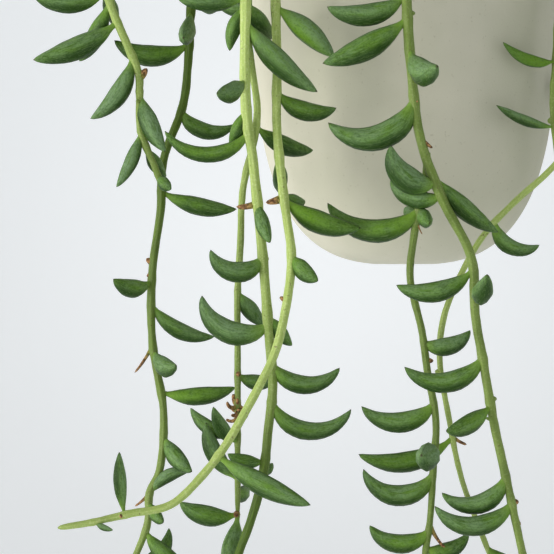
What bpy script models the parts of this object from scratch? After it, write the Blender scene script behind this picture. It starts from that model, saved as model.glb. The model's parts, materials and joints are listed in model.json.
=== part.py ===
"""Hanging pot with a trailing fishhook-leaved succulent, in metres, +Z up.

The origin is the point that the hook hangs from. The pot hangs below it on three wires, and the leafy
stems stand in holes in the soil, arch over the rim and trail down. The front of the plant faces -Y.
Places on the plant are in millimetres, measured from the pot's axis at the height of its rim.
"""

import math
import random
from collections import namedtuple

import bmesh
import bpy
import numpy as np
from mathutils import Matrix, Vector
from mathutils.geometry import intersect_point_line

MM = 0.001
GAP = 0.0003

# Pot
RIM_Z = -0.170
POT_HEIGHT = 0.122
POT_RADIUS = 0.0545
POT_FLARE = 0.04
POT_ROUND_HEIGHT = 0.090
POT_ROUNDNESS = 3.0
POT_WALL = 0.004
FOOT_RADIUS = 0.012
POT_SIDES = 28
POT_BOTTOM_Z = RIM_Z - POT_HEIGHT

# Soil
SOIL_DEPTH = 0.011
SOIL_CROWN = 0.004
STEM_HOLE_SIDES = 6

# Hanger
WIRE_RADIUS = 0.001
WIRE_ANGLES = (60, 180, 300)
WIRE_HOLE_DROP = 0.0055
WIRE_TOP_RADIUS = 0.0034
WIRE_TOP_Z = -0.0215
COLLAR_RADIUS = 0.0058
COLLAR_BOTTOM_Z = -0.031
COLLAR_HEIGHT = 0.0105
HOOK_INNER_RADIUS = 0.007
HOOK_WIRE_RADIUS = 0.0016

# Leafy stems
STEM_RADIUS = 0.0016
STEM_STEP = 0.018
LEAF_DEPTH = 0.0078
LEAF_THICKNESS = 0.0064
LEAF_SHAPE = ((0.0, 0.36), (0.2, 0.74), (0.5, 1.0), (0.8, 0.62))
STRAIGHT_LEAF_SHAPE = ((0.0, 0.36), (0.3, 0.92), (0.7, 0.80))
STRAIGHT_TURN = 86
TIP_DEPTH = 0.0012
OWN_STEM_SHARE = 0.1
OWN_LEAF_SHARE = 0.6
CLEARANCE = 0.0007
TURNS_TRIED = (0, 14, -14, 28, -28, 44, -44, 62, -62)
LIFTS_TRIED = (0, 16, -16, 32, -32)
LENGTHS_TRIED = (1.0, 0.8, 0.62)
LEAF_STEPS = 10
BALL_STEP = 0.002

# Leaf: at = place along the route (point number and fraction), side = compass angle in degrees
# (0 right, 90 back, 180 left, 270 front), length in mm, tilt = rise of the chord, turn = curl of the hook,
# girth = how thick it is for its length.
Leaf = namedtuple("Leaf", "at side length tilt turn girth", defaults=(60, 1.0))
Stem = namedtuple("Stem", "name route leaves thickness fork", defaults=(1.0, None))

FRONT_STEMS = (
    Stem(
        "stem_left_short",
        [(-30, -14, -20), (-30, -14, -8), (-34, -18, 12), (-50, -31, 31), (-78, -46, 34), (-101, -57, 12),
         (-110, -60, -16), (-109, -60, -28), (-102.5, -60, -44), (-98.5, -60, -54), (-98, -60, -62),
         (-97.5, -60, -75), (-92.5, -60, -88), (-90, -60, -95)],
        [Leaf(7.5, 190, 33, -25, 35), Leaf(8.35, 190, 27, -57, 60, 0.9), Leaf(6.8, 180, 27, 0),
         Leaf(7.05, 130, 27, -64, 30), Leaf(9.9, 340, 24, -64, 30), Leaf(11.0, 200, 22, -66, 25, 0.75),
         Leaf(11.4, 30, 14, -48, 30), Leaf(12.3, 340, 9, -35, 30),
         Leaf(2.4, 120, 22, 10), Leaf(3.2, 300, 24, -5, 80), Leaf(3.9, 130, 25, -5, 70),
         Leaf(4.6, 290, 26, -15, 70), Leaf(5.2, 160, 26, -10, 80), Leaf(5.9, 300, 25, -25, 60),
         Leaf(6.6, 140, 20, -68, 30)],
    ),
    Stem(
        "stem_left_long",
        [(-36, -6, -20), (-36, -6, -8), (-42, -12, 10), (-56, -26, 20), (-70, -40, 8), (-78, -49, -14),
         (-80, -50, -30), (-81, -50, -48), (-83, -50, -65), (-90, -50, -85), (-91, -50, -103),
         (-94, -50, -125), (-94, -50, -150), (-90, -50, -175), (-91, -50, -195), (-95, -50, -205),
         (-96, -50, -217), (-103, -50, -235), (-106, -50, -246)],
        [Leaf(6.05, 262, 24, -30), Leaf(6.7, 180, 27, 2, 83), Leaf(8.1, 0, 20, -14, 110, 0.9),
         Leaf(9.63, 0, 28, -13, 36, 0.82), Leaf(11.14, 228, 20, 2, 70), Leaf(11.46, 0, 26, -28, 70, 0.8),
         Leaf(12.13, 302, 19, -15, 80, 1.1), Leaf(12.73, 0, 27, 4, 40, 0.85),
         Leaf(13.42, 315, 19, -40, 40, 1.1), Leaf(15.05, 345, 18, 30, -60, 0.75),
         Leaf(15.3, 305, 12, -32, 40), Leaf(16.1, 335, 22, -38, 40), Leaf(16.8, 20, 20, 43, 100),
         Leaf(17.2, 200, 20, -20, 60), Leaf(17.7, 310, 14, -50, 30), Leaf(2.5, 200, 22, 5),
         Leaf(3.3, 60, 23, 0), Leaf(4.1, 190, 22, -5, 80), Leaf(4.8, 80, 22, -10),
         Leaf(5.3, 190, 24, 0, 60)],
    ),
    Stem(
        "stem_centre_forked",
        [(-20, -26, -20), (-20, -26, -8), (-24, -31, 10), (-38, -48, 22), (-52, -64, 14), (-59, -71, -8),
         (-60, -72, -30), (-60, -72, -65), (-57, -72, -90), (-54, -72, -120), (-52, -72, -145),
         (-50.5, -72, -165), (-52, -72, -180), (-54, -72, -197), (-58, -72, -212), (-63, -72, -226),
         (-66, -72, -240), (-67, -72, -250)],
        [Leaf(7.43, 181, 29.5, 1, 116, 0.7), Leaf(6.21, 355, 36, -45, 30), Leaf(5.97, 180, 24, 0, 20),
         Leaf(6.78, 245, 24, -15, 40), Leaf(6.0, 50, 25, -25, 30, 1.1), Leaf(6.05, 150, 17, -70, -35, 0.9),
         Leaf(7.1, 160, 15, -60, 20), Leaf(8.35, 320, 17, -60, 30),
         Leaf(9.0, 197, 19, 8, 140, 1.12), Leaf(9.8, 15, 14, -50, 20), Leaf(9.95, 180, 25.5, 24, 127, 1.1),
         Leaf(10.58, 0, 24, -4, 120, 0.9), Leaf(11.37, 0, 28, -5, 133, 0.82),
         Leaf(12.68, 195, 14, 12, 50, 0.9), Leaf(12.95, 60, 8, 25, 40, 0.7), Leaf(15.0, 222, 22, -40, 50),
         Leaf(15.3, 0, 22, -10, 90), Leaf(15.9, 200, 20, -10, 80), Leaf(16.5, 330, 15, -40, 40),
         Leaf(2.6, 180, 22, 5), Leaf(3.4, 320, 22, 10), Leaf(4.2, 190, 24, -5, 70),
         Leaf(5.0, 300, 24, -15), Leaf(5.5, 180, 22, -20)],
        1.15,
        Stem(
            "fork",
            [(-60, -72, -38), (-58, -68, -52), (-56, -67, -67), (-57, -66, -78), (-60, -65, -90),
             (-61.5, -63, -100), (-62, -62, -115), (-63, -62, -132), (-63, -62, -150), (-63, -62, -175),
             (-63, -62, -195), (-63, -62, -212)],
            [Leaf(2.6, 20, 25, -18, 45, 0.95), Leaf(7.0, 10, 16, -52, 20), Leaf(8.47, 20, 15, -8, 60, 0.95),
             Leaf(9.37, 160, 20, 27, 70, 0.85), Leaf(9.5, 215, 18, 46, 60, 0.95),
             Leaf(10.2, 182, 23, 61, 55, 0.9), Leaf(10.4, 80, 16, 0), Leaf(10.93, 185, 21, 12, 60, 1.1),
             Leaf(10.98, 250, 24, -65, 30, 1.2)],
            0.8,
        ),
    ),
    Stem(
        "stem_centre_curved",
        [(-10, -22, -20), (-10, -22, -8), (-14, -29, 12), (-27, -48, 28), (-41, -66, 22), (-48, -72, 1),
         (-49.5, -66, -23), (-49, -65, -48.5), (-49, -68, -75), (-46.5, -74, -100), (-44, -80, -120),
         (-46, -83, -138), (-50, -83, -154), (-58, -83, -170), (-66, -83, -184), (-75, -83, -196),
         (-86, -83, -206), (-100, -83, -209), (-113, -83, -212), (-125, -83, -214)],
        [Leaf(6.33, 350, 28, -41, -12), Leaf(7.47, 0, 22, -16, 85), Leaf(8.35, 85, 20, -38, 50),
         Leaf(8.97, 0, 29, -21, 55), Leaf(8.9, 40, 13, -10, 60), Leaf(9.95, 318, 15, -38, 40, 1.15),
         Leaf(14.4, 344, 37, -26, 20, 0.95), Leaf(17.14, 200, 22, 85, 12, 0.68),
         Leaf(17.95, 350, 8, -18, 30, 0.5), Leaf(2.6, 200, 20, 15), Leaf(3.3, 330, 24, 5),
         Leaf(4.0, 200, 24, 0, 70), Leaf(4.7, 330, 26, -5, 70), Leaf(5.5, 270, 24, -30, 50)],
        1.05,
    ),
    Stem(
        "stem_right_forked",
        [(4, -24, -20), (4, -24, -8), (3, -31, 12), (0, -50, 26), (-3, -68, 18), (-5, -78, -2),
         (-4, -80, -30), (-2, -80, -58), (1.2, -80, -80), (8.5, -80, -100), (18.5, -80, -120),
         (20, -80, -140), (23, -80, -158), (26.5, -80, -178), (30.5, -80, -196), (34, -80, -212),
         (37.5, -80, -228), (41, -80, -244)],
        [Leaf(5.95, 180, 28, -9, 80), Leaf(6.25, 187, 34, -28, 30, 1.05), Leaf(6.62, 286, 30, -16, 75, 1.15),
         Leaf(7.3, 180, 31, -15, 128, 1.1), Leaf(8.7, 195, 20.5, 38, 115, 1.35),
         Leaf(8.57, 20, 32, -38, 25, 0.88), Leaf(8.93, 150, 19, 17, 90),
         Leaf(10.2, 180, 27.5, -12, 84, 0.92),
         Leaf(10.55, 280, 21, 14, 80, 1.25), Leaf(11.85, 180, 27.5, -6, 110, 0.92),
         Leaf(12.68, 222, 24, -19, 40), Leaf(14.0, 180, 23, -15, 130, 0.95),
         Leaf(14.6, 188, 27.5, -1, 115, 0.92),
         Leaf(15.8, 10, 24, -20, 60), Leaf(16.3, 195, 22, -25, 60), Leaf(16.7, 320, 15, -50, 30),
         Leaf(2.6, 170, 22, 10), Leaf(3.3, 350, 24, 5), Leaf(4.1, 200, 26, 0, 80),
         Leaf(4.8, 340, 27, -5, 80), Leaf(5.5, 190, 25, -20), Leaf(5.5, 20, 22, 10, 50)],
        1.1,
        Stem(
            "fork",
            [(3, -80, -84), (3, -76, -92), (1, -72, -103), (-1, -70, -114), (-2, -70, -128),
             (2, -70, -146), (4, -70, -160), (7, -70, -178), (6, -70, -195), (5, -70, -212),
             (3, -70, -226), (2, -70, -238)],
            [Leaf(2.05, 180, 33, 5, 111), Leaf(1.95, 285, 14, -25, 40, 1.1), Leaf(2.1, 160, 11, 10, 60),
             Leaf(5.28, 0, 17, 15, 90, 1.05), Leaf(6.65, 180, 25.5, -2, 105, 0.97),
             Leaf(7.5, 250, 20, -5, 50, 1.5), Leaf(8.08, 180, 24.5, 4, 140),
             Leaf(9.3, 180, 21, 6, 112), Leaf(9.75, 15, 17, 18, 90), Leaf(10.5, 300, 16, -50, 30),
             Leaf(10.7, 150, 14, -40, 40)],
            0.85,
        ),
    ),
    Stem(
        "stem_right_pale",
        [(26, -20, -20), (26, -20, -8), (31, -25, 8), (44, -38, 18), (58, -50, 8), (66, -57, -18),
         (66, -60, -48), (60, -61, -72), (50, -61, -87), (36, -61, -100), (25.5, -61, -111),
         (17, -61, -125), (10.5, -61, -141), (9, -61, -157), (12, -61, -176), (16, -61, -196),
         (21, -61, -211), (28, -61, -229), (31, -61, -238)],
        [Leaf(9.68, 0, 18, -27, 125, 0.9), Leaf(14.4, 180, 34, -10, 75, 0.9), Leaf(2.6, 330, 22, 5),
         Leaf(3.3, 200, 22, 0), Leaf(4.1, 350, 25, -5, 80), Leaf(4.9, 230, 22, -15), Leaf(5.5, 350, 26, -10),
         Leaf(6.1, 260, 24, -20), Leaf(6.7, 0, 25, -15, 80), Leaf(7.2, 300, 20, -25),
         Leaf(7.8, 20, 22, -25), Leaf(16.6, 350, 18, -30), Leaf(17.3, 200, 14, -40, 40),
         Leaf(17.6, 320, 12, -50, 30)],
        0.75,
    ),
    Stem(
        "stem_far_right",
        [(38, -12, -20), (38, -12, -8), (43, -18, 6), (52, -32, 10), (55, -39, -6), (54, -41, -26),
         (53, -41, -48), (52, -41, -66), (55, -40, -88), (61, -38, -110), (66, -36, -135),
         (68, -35, -160), (69, -34, -185)],
        [Leaf(6.0, 212, 24.5, 13, 60, 0.62), Leaf(7.3, 212, 28.5, 14, 25, 0.5), Leaf(2.6, 0, 20, 5),
         Leaf(3.4, 350, 22, 0), Leaf(4.2, 10, 22, -10, 70), Leaf(4.9, 340, 25, -15, 80),
         Leaf(5.5, 300, 20, -30), Leaf(6.5, 0, 25, -10, 90), Leaf(7.7, 0, 24, -20, 80),
         Leaf(8.4, 300, 22, -20, 60), Leaf(8.9, 10, 25, -10, 80), Leaf(9.4, 230, 20, -25, 70),
         Leaf(9.9, 350, 24, -10, 100), Leaf(10.4, 270, 20, -25, 60), Leaf(10.8, 0, 23, -15, 80),
         Leaf(11.3, 200, 18, -30, 50), Leaf(11.7, 330, 14, -45, 30)],
    ),
)

# The other stems follow a rule: compass angle, root radius, reach past the rim, drop below it, leaves.
HANGING_STEMS = {
    "stem_side_1": (345, 44, 20, 215, 11),
    "stem_side_2": (8, 36, 16, 150, 9),
    "stem_side_3": (22, 45, 26, 190, 11),
    "stem_side_4": (43, 34, 25, 60, 6),
    "stem_back_1": (76, 38, 13, 86, 7),
    "stem_back_2": (95, 45, 15, 74, 7),
    "stem_back_3": (116, 36, 12, 82, 7),
    "stem_back_4": (138, 43, 11, 24, 6),
    "stem_back_5": (163, 39, 9, 14, 5),
}
CROWN_SHOOTS = {
    "shoot_1": (-6, 4, 30, -14, -4),
    "shoot_2": (13, 12, 26, 12, 6),
    "shoot_3": (-18, 16, 22, -12, 10),
    "shoot_4": (18, -8, 24, 12, -12),
    "shoot_5": (0, 28, 20, 4, 14),
}


def remove_everything():
    """Empty the scene that the script starts in."""
    for thing in list(bpy.data.objects):
        bpy.data.objects.remove(thing)


def material(name, colour, roughness, metallic=0.0):
    """A plain Principled material."""
    finish = bpy.data.materials.new(name)
    finish.use_nodes = True
    shader = finish.node_tree.nodes["Principled BSDF"]
    shader.inputs["Base Color"].default_value = (*colour, 1.0)
    shader.inputs["Roughness"].default_value = roughness
    shader.inputs["Metallic"].default_value = metallic
    return finish


def add_mesh_object(name, mesh, collection):
    """Link a new object that holds the mesh."""
    thing = bpy.data.objects.new(name, mesh)
    collection.objects.link(thing)
    return thing


def finish_object(thing, finish):
    """Give a finished object its material and smooth shading with crisp edges."""
    mesh = thing.data
    mesh.materials.clear()
    mesh.materials.append(finish)
    mesh.shade_smooth()
    mesh.set_sharp_from_angle(angle=math.radians(40))
    return thing


def apply_modifiers(thing):
    """Replace an object's mesh with its evaluated mesh."""
    graph = bpy.context.evaluated_depsgraph_get()
    mesh = bpy.data.meshes.new_from_object(thing.evaluated_get(graph))
    thing.modifiers.clear()
    thing.data = mesh
    return thing


def turned(name, profile, sides, collection):
    """A profile of (radius, height) points turned round the Z axis, from its top outer side down."""
    mesh = bpy.data.meshes.new(name)
    mesh.from_pydata([(r, 0.0, z) for r, z in profile], [(i, i + 1) for i in range(len(profile) - 1)], [])
    thing = add_mesh_object(name, mesh, collection)
    screw = thing.modifiers.new("turn", "SCREW")
    screw.steps = sides
    screw.render_steps = sides
    screw.use_merge_vertices = True
    screw.merge_threshold = 0.00005
    screw.use_normal_calculate = False
    return apply_modifiers(thing)


def tube(name, points, radius, collection, radii=None, resolution=2):
    """A closed tube along the points, made a mesh with its caps welded."""
    curve = bpy.data.curves.new(name, "CURVE")
    curve.dimensions = "3D"
    curve.bevel_depth = radius
    curve.bevel_resolution = resolution
    curve.use_fill_caps = True
    line = curve.splines.new("POLY")
    line.points.add(len(points) - 1)
    for index, point in enumerate(points):
        line.points[index].co = (*point, 1.0)
        line.points[index].radius = radii[index] if radii else 1.0
    guide = bpy.data.objects.new(name + "_curve", curve)
    collection.objects.link(guide)
    bpy.context.view_layer.update()
    graph = bpy.context.evaluated_depsgraph_get()
    mesh = bpy.data.meshes.new_from_object(guide.evaluated_get(graph))
    thing = add_mesh_object(name, mesh, collection)
    thing.matrix_world = guide.matrix_world
    bpy.data.objects.remove(guide)
    welded = bmesh.new()
    welded.from_mesh(mesh)
    bmesh.ops.remove_doubles(welded, verts=welded.verts, dist=0.00001)
    bmesh.ops.recalc_face_normals(welded, faces=welded.faces)
    welded.to_mesh(mesh)
    welded.free()
    return thing


def boolean(thing, operand, operation):
    """Join to or cut from an object all that a collection holds, and remove what it held."""
    change = thing.modifiers.new(operation.lower(), "BOOLEAN")
    change.operation = operation
    change.operand_type = "COLLECTION"
    change.collection = operand
    apply_modifiers(thing)
    for used in list(operand.objects):
        bpy.data.objects.remove(used)
    return thing


def cylinder_mesh(name, radius, depth, sides, place):
    """A closed cylinder; place turns and moves it from standing on the origin's middle."""
    shape = bmesh.new()
    bmesh.ops.create_cone(
        shape, cap_ends=True, segments=sides, radius1=radius, radius2=radius, depth=depth, matrix=place
    )
    mesh = bpy.data.meshes.new(name)
    shape.to_mesh(mesh)
    shape.free()
    return mesh


def add_cutter(name, mesh, cutters):
    """An object that only cuts."""
    cutter = add_mesh_object(name, mesh, cutters)
    cutter.hide_render = True
    cutter.display_type = "WIRE"
    return cutter


def pot_radius(height):
    """The pot's outer radius at a height above its foot: a rounded bottom that runs into a flared wall."""
    rise = min(1.0, (height + foot_lift()) / POT_ROUND_HEIGHT)
    return (POT_RADIUS + POT_FLARE * height) * (1.0 - (1.0 - rise) ** POT_ROUNDNESS) ** (1.0 / POT_ROUNDNESS)


def foot_lift():
    """How far up the rounded bottom is cut off flat, to leave a foot of the wanted radius."""
    share = (FOOT_RADIUS / POT_RADIUS) ** POT_ROUNDNESS
    return POT_ROUND_HEIGHT * (1.0 - (1.0 - share) ** (1.0 / POT_ROUNDNESS))


def pot_profile():
    """Closed section of the pot: inner bottom, inner wall, round rim, outer wall and foot."""
    outer_heights = [0.090, 0.062, 0.040, 0.024, 0.012, 0.0045, 0.0015]
    inner = [(0.0, POT_WALL)] + inner_wall(0.0)
    half = POT_WALL / 2
    middle = pot_radius(POT_HEIGHT) - half
    rim = [
        (middle + half * math.cos(angle), POT_HEIGHT - half + half * math.sin(angle))
        for angle in (math.pi, math.pi * 0.6, math.pi * 0.4, 0.0)
    ]
    outer = [(pot_radius(height), height) for height in outer_heights]
    return inner + rim + outer + [(FOOT_RADIUS, 0.0), (0.0, 0.0)]


def inner_wall(inset, top=0.112):
    """Points up the inside of the wall, moved inwards by inset, from the bottom to a height."""
    wall = []
    for height in (POT_WALL, 0.012, 0.024, 0.044, 0.072, top):
        outside = max(0.0, height - POT_WALL * (1.0 - height / POT_HEIGHT))
        wall.append((pot_radius(outside) - POT_WALL - inset, height + inset))
    return wall


def at_pot(profile):
    """Move a profile from the pot's foot to where the pot hangs."""
    return [(radius, height + POT_BOTTOM_Z) for radius, height in profile]


def make_pot(collection, cutters):
    """Matt cream pot with a rounded bottom, a flat foot and three wire holes below its rim."""
    pot = turned("pot", at_pot(pot_profile()), POT_SIDES, collection)
    for angle in WIRE_ANGLES:
        turn = Matrix.Rotation(math.radians(angle), 4, "Z")
        lie = Matrix.Rotation(math.radians(90), 4, "Y")
        middle = pot_radius(POT_HEIGHT) - POT_WALL / 2
        place = turn @ Matrix.Translation((middle, 0, RIM_Z - WIRE_HOLE_DROP)) @ lie
        hole = cylinder_mesh("wire_hole", WIRE_RADIUS + GAP, POT_WALL * 3, 12, place)
        add_cutter("wire_hole", hole, cutters)
    boolean(pot, cutters, "DIFFERENCE")
    return finish_object(pot, material("pot_glaze", (0.52, 0.50, 0.37), 0.75))


def make_soil(collection, cutters, stems):
    """Soil that fills the pot, slightly crowned, with a plain hole for each stem."""
    top = POT_HEIGHT - SOIL_DEPTH
    wall = inner_wall(GAP, top)
    edge = wall[-1][0]
    crown = [(edge * share, top + SOIL_CROWN * (1.0 - share**2) + GAP) for share in (0.0, 0.6)]
    profile = crown + list(reversed(wall)) + [(0.0, POT_WALL + GAP)]
    soil = turned("soil", at_pot(profile), POT_SIDES, collection)
    for stem in stems:
        x, y, z = (value * MM for value in stem.route[0])
        radius = STEM_RADIUS * stem.thickness + 2 * GAP
        bottom = RIM_Z + z - GAP
        depth = 0.03
        place = Matrix.Translation((x, y, bottom + depth / 2))
        hole = cylinder_mesh("stem_hole", radius, depth, STEM_HOLE_SIDES, place)
        add_cutter("stem_hole", hole, cutters)
    boolean(soil, cutters, "DIFFERENCE")
    return finish_object(soil, material("potting_soil", (0.035, 0.022, 0.014), 0.95))


def wire_points(angle):
    """Route of a hanger wire: down from the collar, through the hole below the rim, and up outside."""
    turn = Matrix.Rotation(math.radians(angle), 3, "Z")
    hole_z = RIM_Z - WIRE_HOLE_DROP
    inside = pot_radius(POT_HEIGHT) - POT_WALL
    outside = pot_radius(POT_HEIGHT)
    section = [
        (WIRE_TOP_RADIUS, WIRE_TOP_Z),
        (WIRE_TOP_RADIUS, WIRE_TOP_Z - 0.0105),
        (WIRE_TOP_RADIUS + 0.0007, WIRE_TOP_Z - 0.0135),
        (inside - 0.0052, hole_z + 0.0062),
        (inside - 0.0040, hole_z + 0.0022),
        (inside - 0.0026, hole_z + 0.0005),
        (inside - 0.0010, hole_z),
        (outside + 0.0012, hole_z),
        (outside + 0.0026, hole_z + 0.0006),
        (outside + 0.0034, hole_z + 0.0020),
        (outside + 0.0036, hole_z + 0.0060),
    ]
    return [turn @ Vector((radius, 0.0, z)) for radius, z in section]


def make_wires(collection):
    """Three steel wires that carry the pot."""
    steel = material("steel_wire", (0.55, 0.55, 0.53), 0.35, 1.0)
    for number, angle in enumerate(WIRE_ANGLES, 1):
        wire = tube(f"hanger_wire_{number}", wire_points(angle), WIRE_RADIUS, collection)
        finish_object(wire, steel)


def make_hook(collection, cutters, joined):
    """Collar that grips the wires, with the open hook that the whole thing hangs from."""
    top = COLLAR_BOTTOM_Z + COLLAR_HEIGHT
    chamfer = 0.0012
    profile = [
        (0.0, top),
        (COLLAR_RADIUS - chamfer, top),
        (COLLAR_RADIUS, top - chamfer),
        (COLLAR_RADIUS, COLLAR_BOTTOM_Z + chamfer),
        (COLLAR_RADIUS - chamfer, COLLAR_BOTTOM_Z),
        (0.0, COLLAR_BOTTOM_Z),
    ]
    collar = turned("hook", profile, 16, collection)
    bend = HOOK_INNER_RADIUS + HOOK_WIRE_RADIUS
    arc = [
        Vector((bend * math.cos(math.radians(a)), 0.0, bend * math.sin(math.radians(a)) - HOOK_INNER_RADIUS))
        for a in range(-50, 216, 29)
    ]
    shank = [Vector((0, 0, top - 0.004)), Vector((0, 0, top + 0.0022)), Vector((0.0012, 0, top + 0.0038))]
    tube("hook_wire", shank + arc, HOOK_WIRE_RADIUS, joined, None, 1)
    boolean(collar, joined, "UNION")
    for angle in WIRE_ANGLES:
        turn = Matrix.Rotation(math.radians(angle), 4, "Z")
        depth = 0.03
        place = turn @ Matrix.Translation((WIRE_TOP_RADIUS, 0, WIRE_TOP_Z + GAP - depth / 2))
        add_cutter("wire_socket", cylinder_mesh("wire_socket", WIRE_RADIUS + GAP, depth, 12, place), cutters)
    boolean(collar, cutters, "DIFFERENCE")
    return finish_object(collar, material("steel_hook", (0.55, 0.55, 0.53), 0.3, 1.0))


def route_point(route, at):
    """Point in metres on the smooth curve through a route's points; at counts the points."""
    last = len(route) - 1
    first = min(int(at), last - 1)
    share = at - first
    a, b, c, d = (Vector(route[min(max(first + step, 0), last)]) for step in (-1, 0, 1, 2))
    bend = 2 * b + (c - a) * share + (2 * a - 5 * b + 4 * c - d) * share**2
    bend += (3 * b - a - 3 * c + d) * share**3
    return Vector((0.0, 0.0, RIM_Z)) + bend * 0.5 * MM


def route_points(route, step):
    """Points along a route: its straight root in the soil, then evenly spaced on the smooth curve."""
    fine = [route_point(route, 1 + index / 20) for index in range(20 * (len(route) - 2) + 1)]
    travelled = [0.0]
    for before, after in zip(fine, fine[1:]):
        travelled.append(travelled[-1] + (after - before).length)
    count = max(4, round(travelled[-1] / step))
    wanted = np.linspace(0.0, travelled[-1], count + 1)
    axes = [np.interp(wanted, travelled, [point[axis] for point in fine]) for axis in range(3)]
    return [route_point(route, 0)] + [Vector(point) for point in zip(*axes)]


def seat(point, line):
    """The nearest point to it on a line of points, so that a leaf's root sits in its stem's middle."""
    nearest = line[0]
    for before, after in zip(line, line[1:]):
        _, share = intersect_point_line(point, before, after)
        foot = before.lerp(after, min(max(share, 0.0), 1.0))
        if (foot - point).length < (nearest - point).length:
            nearest = foot
    return nearest


def leaf_frame(leaf):
    """Outward, upward and sideways directions of a leaf."""
    angle = math.radians(leaf.side)
    out = Vector((math.cos(angle), math.sin(angle), 0.0))
    up = Vector((0.0, 0.0, 1.0))
    return out, up, out.cross(up)


def leaf_line(leaf, root, count):
    """Points along a leaf's middle, and the direction across it there, from its root to its tip."""
    out, up, _ = leaf_frame(leaf)
    tilt = math.radians(leaf.tilt)
    turn = math.radians(leaf.turn)
    chord = leaf.length * MM
    travel = chord * (turn / 2) / math.sin(turn / 2)
    points = [root.copy()]
    across = []
    for index in range(count + 1):
        heading = tilt - turn / 2 + turn * index / count
        across.append(up * math.cos(heading) - out * math.sin(heading))
        if index < count:
            middle = tilt - turn / 2 + turn * (index + 0.5) / count
            points.append(points[-1] + (out * math.cos(middle) + up * math.sin(middle)) * travel / count)
    return points, across


def leaf_scale(leaf):
    """Short leaves are thinner too."""
    return min(1.08, 0.45 + leaf.length / 48) * leaf.girth


def leaf_width(share):
    """Depth of a leaf, from 0 to 1, at a share of its length."""
    places = [place for place, _ in LEAF_SHAPE] + [1.0]
    widths = [width for _, width in LEAF_SHAPE] + [TIP_DEPTH / LEAF_DEPTH]
    return float(np.interp(share, places, widths))


def leaf_balls(leaf, root):
    """Balls that fill a leaf, as rows of x, y, z and radius, for keeping leaves apart."""
    points, _ = leaf_line(leaf, root, LEAF_STEPS)
    size = leaf_scale(leaf) * LEAF_DEPTH / 2
    widths = [size * leaf_width(index / LEAF_STEPS) for index in range(LEAF_STEPS + 1)]
    return np.array([(*point, width) for point, width in zip(points, widths)])


def thinned(balls, share):
    """The balls with a share of their radius."""
    return balls * (1.0, 1.0, 1.0, share)


def stem_balls(stem):
    """Balls that fill a stem."""
    radius = STEM_RADIUS * stem.thickness
    return np.array([(*point, radius) for point in route_points(stem.route, BALL_STEP)])


def wire_balls():
    """Balls that fill the hanger's wires."""
    rows = []
    for angle in WIRE_ANGLES:
        points = wire_points(angle)
        for before, after in zip(points, points[1:]):
            steps = max(1, round((after - before).length / BALL_STEP))
            rows += [(*before.lerp(after, step / steps), WIRE_RADIUS) for step in range(steps + 1)]
    return np.array(rows)


def touches_pot(balls):
    """True if a ball comes too near the pot or the soil."""
    for x, y, z, radius in balls:
        reach = radius + CLEARANCE
        across = math.hypot(x, y)
        height = z - POT_BOTTOM_Z
        if height - reach > POT_HEIGHT or height + reach < 0.0:
            continue
        if across - reach > pot_radius(min(max(height, 0.0), POT_HEIGHT)):
            continue
        soil_top = POT_HEIGHT - SOIL_DEPTH + SOIL_CROWN
        if across + reach < pot_radius(POT_HEIGHT) - POT_WALL and height - reach > soil_top:
            continue
        return True
    return False


def too_near(balls, others):
    """True if any ball of one set comes nearer than the clearance to one of another set."""
    apart = np.linalg.norm(balls[:, None, :3] - others[None, :, :3], axis=2)
    return bool(np.any(apart < balls[:, None, 3] + others[None, :, 3] + CLEARANCE))


def fitted_leaf(leaf, root, taken, own_stem):
    """The leaf, turned, lifted or shortened until it is clear of everything, or None."""
    for share in LENGTHS_TRIED:
        for lift in LIFTS_TRIED:
            for turn in TURNS_TRIED:
                side, tilt = leaf.side + turn, leaf.tilt + lift
                trial = leaf._replace(side=side, tilt=tilt, length=leaf.length * share)
                balls = leaf_balls(trial, root)
                if touches_pot(balls[3:]) or too_near(balls[2:], taken):
                    continue
                if too_near(thinned(balls[5:], OWN_STEM_SHARE), own_stem):
                    continue
                return trial, balls
    return None, None


def ring_faces(shape, rings, tip):
    """Skin rings of corners into a closed spike: a cap at the root, walls, and a point at the tip."""
    shape.faces.new(list(reversed(rings[0])))
    sides = len(rings[0])
    for before, after in zip(rings, rings[1:]):
        for index in range(sides):
            following = (index + 1) % sides
            shape.faces.new([before[index], before[following], after[following], after[index]])
    for index in range(sides):
        shape.faces.new([rings[-1][index], rings[-1][(index + 1) % sides], tip])


def leaf_mesh(name, leaf, root):
    """A four-sided hook: narrow at its root, deepest at its middle, pointed at its tip."""
    points, across = leaf_line(leaf, root, LEAF_STEPS)
    _, _, sideways = leaf_frame(leaf)
    size = leaf_scale(leaf)
    shape = bmesh.new()
    rings = []
    for share, width in LEAF_SHAPE if leaf.turn > STRAIGHT_TURN else STRAIGHT_LEAF_SHAPE:
        index = round(share * LEAF_STEPS)
        rise = across[index] * LEAF_DEPTH / 2 * width * size
        spread = sideways * LEAF_THICKNESS / 2 * width * size
        middle = points[index]
        rings.append([shape.verts.new(middle + offset) for offset in (rise, spread, -rise, -spread)])
    tip = shape.verts.new(points[-1])
    ring_faces(shape, rings, tip)
    bmesh.ops.recalc_face_normals(shape, faces=shape.faces)
    mesh = bpy.data.meshes.new(name)
    shape.to_mesh(mesh)
    shape.free()
    return mesh


def stem_tube(name, stem, collection):
    """A stem that thins towards its end."""
    points = route_points(stem.route, STEM_STEP)
    last = len(points) - 1
    radii = [1.0 - 0.35 * (index / last) ** 2 for index in range(last + 1)]
    return tube(name, points, STEM_RADIUS * stem.thickness, collection, radii, 1)


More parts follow.
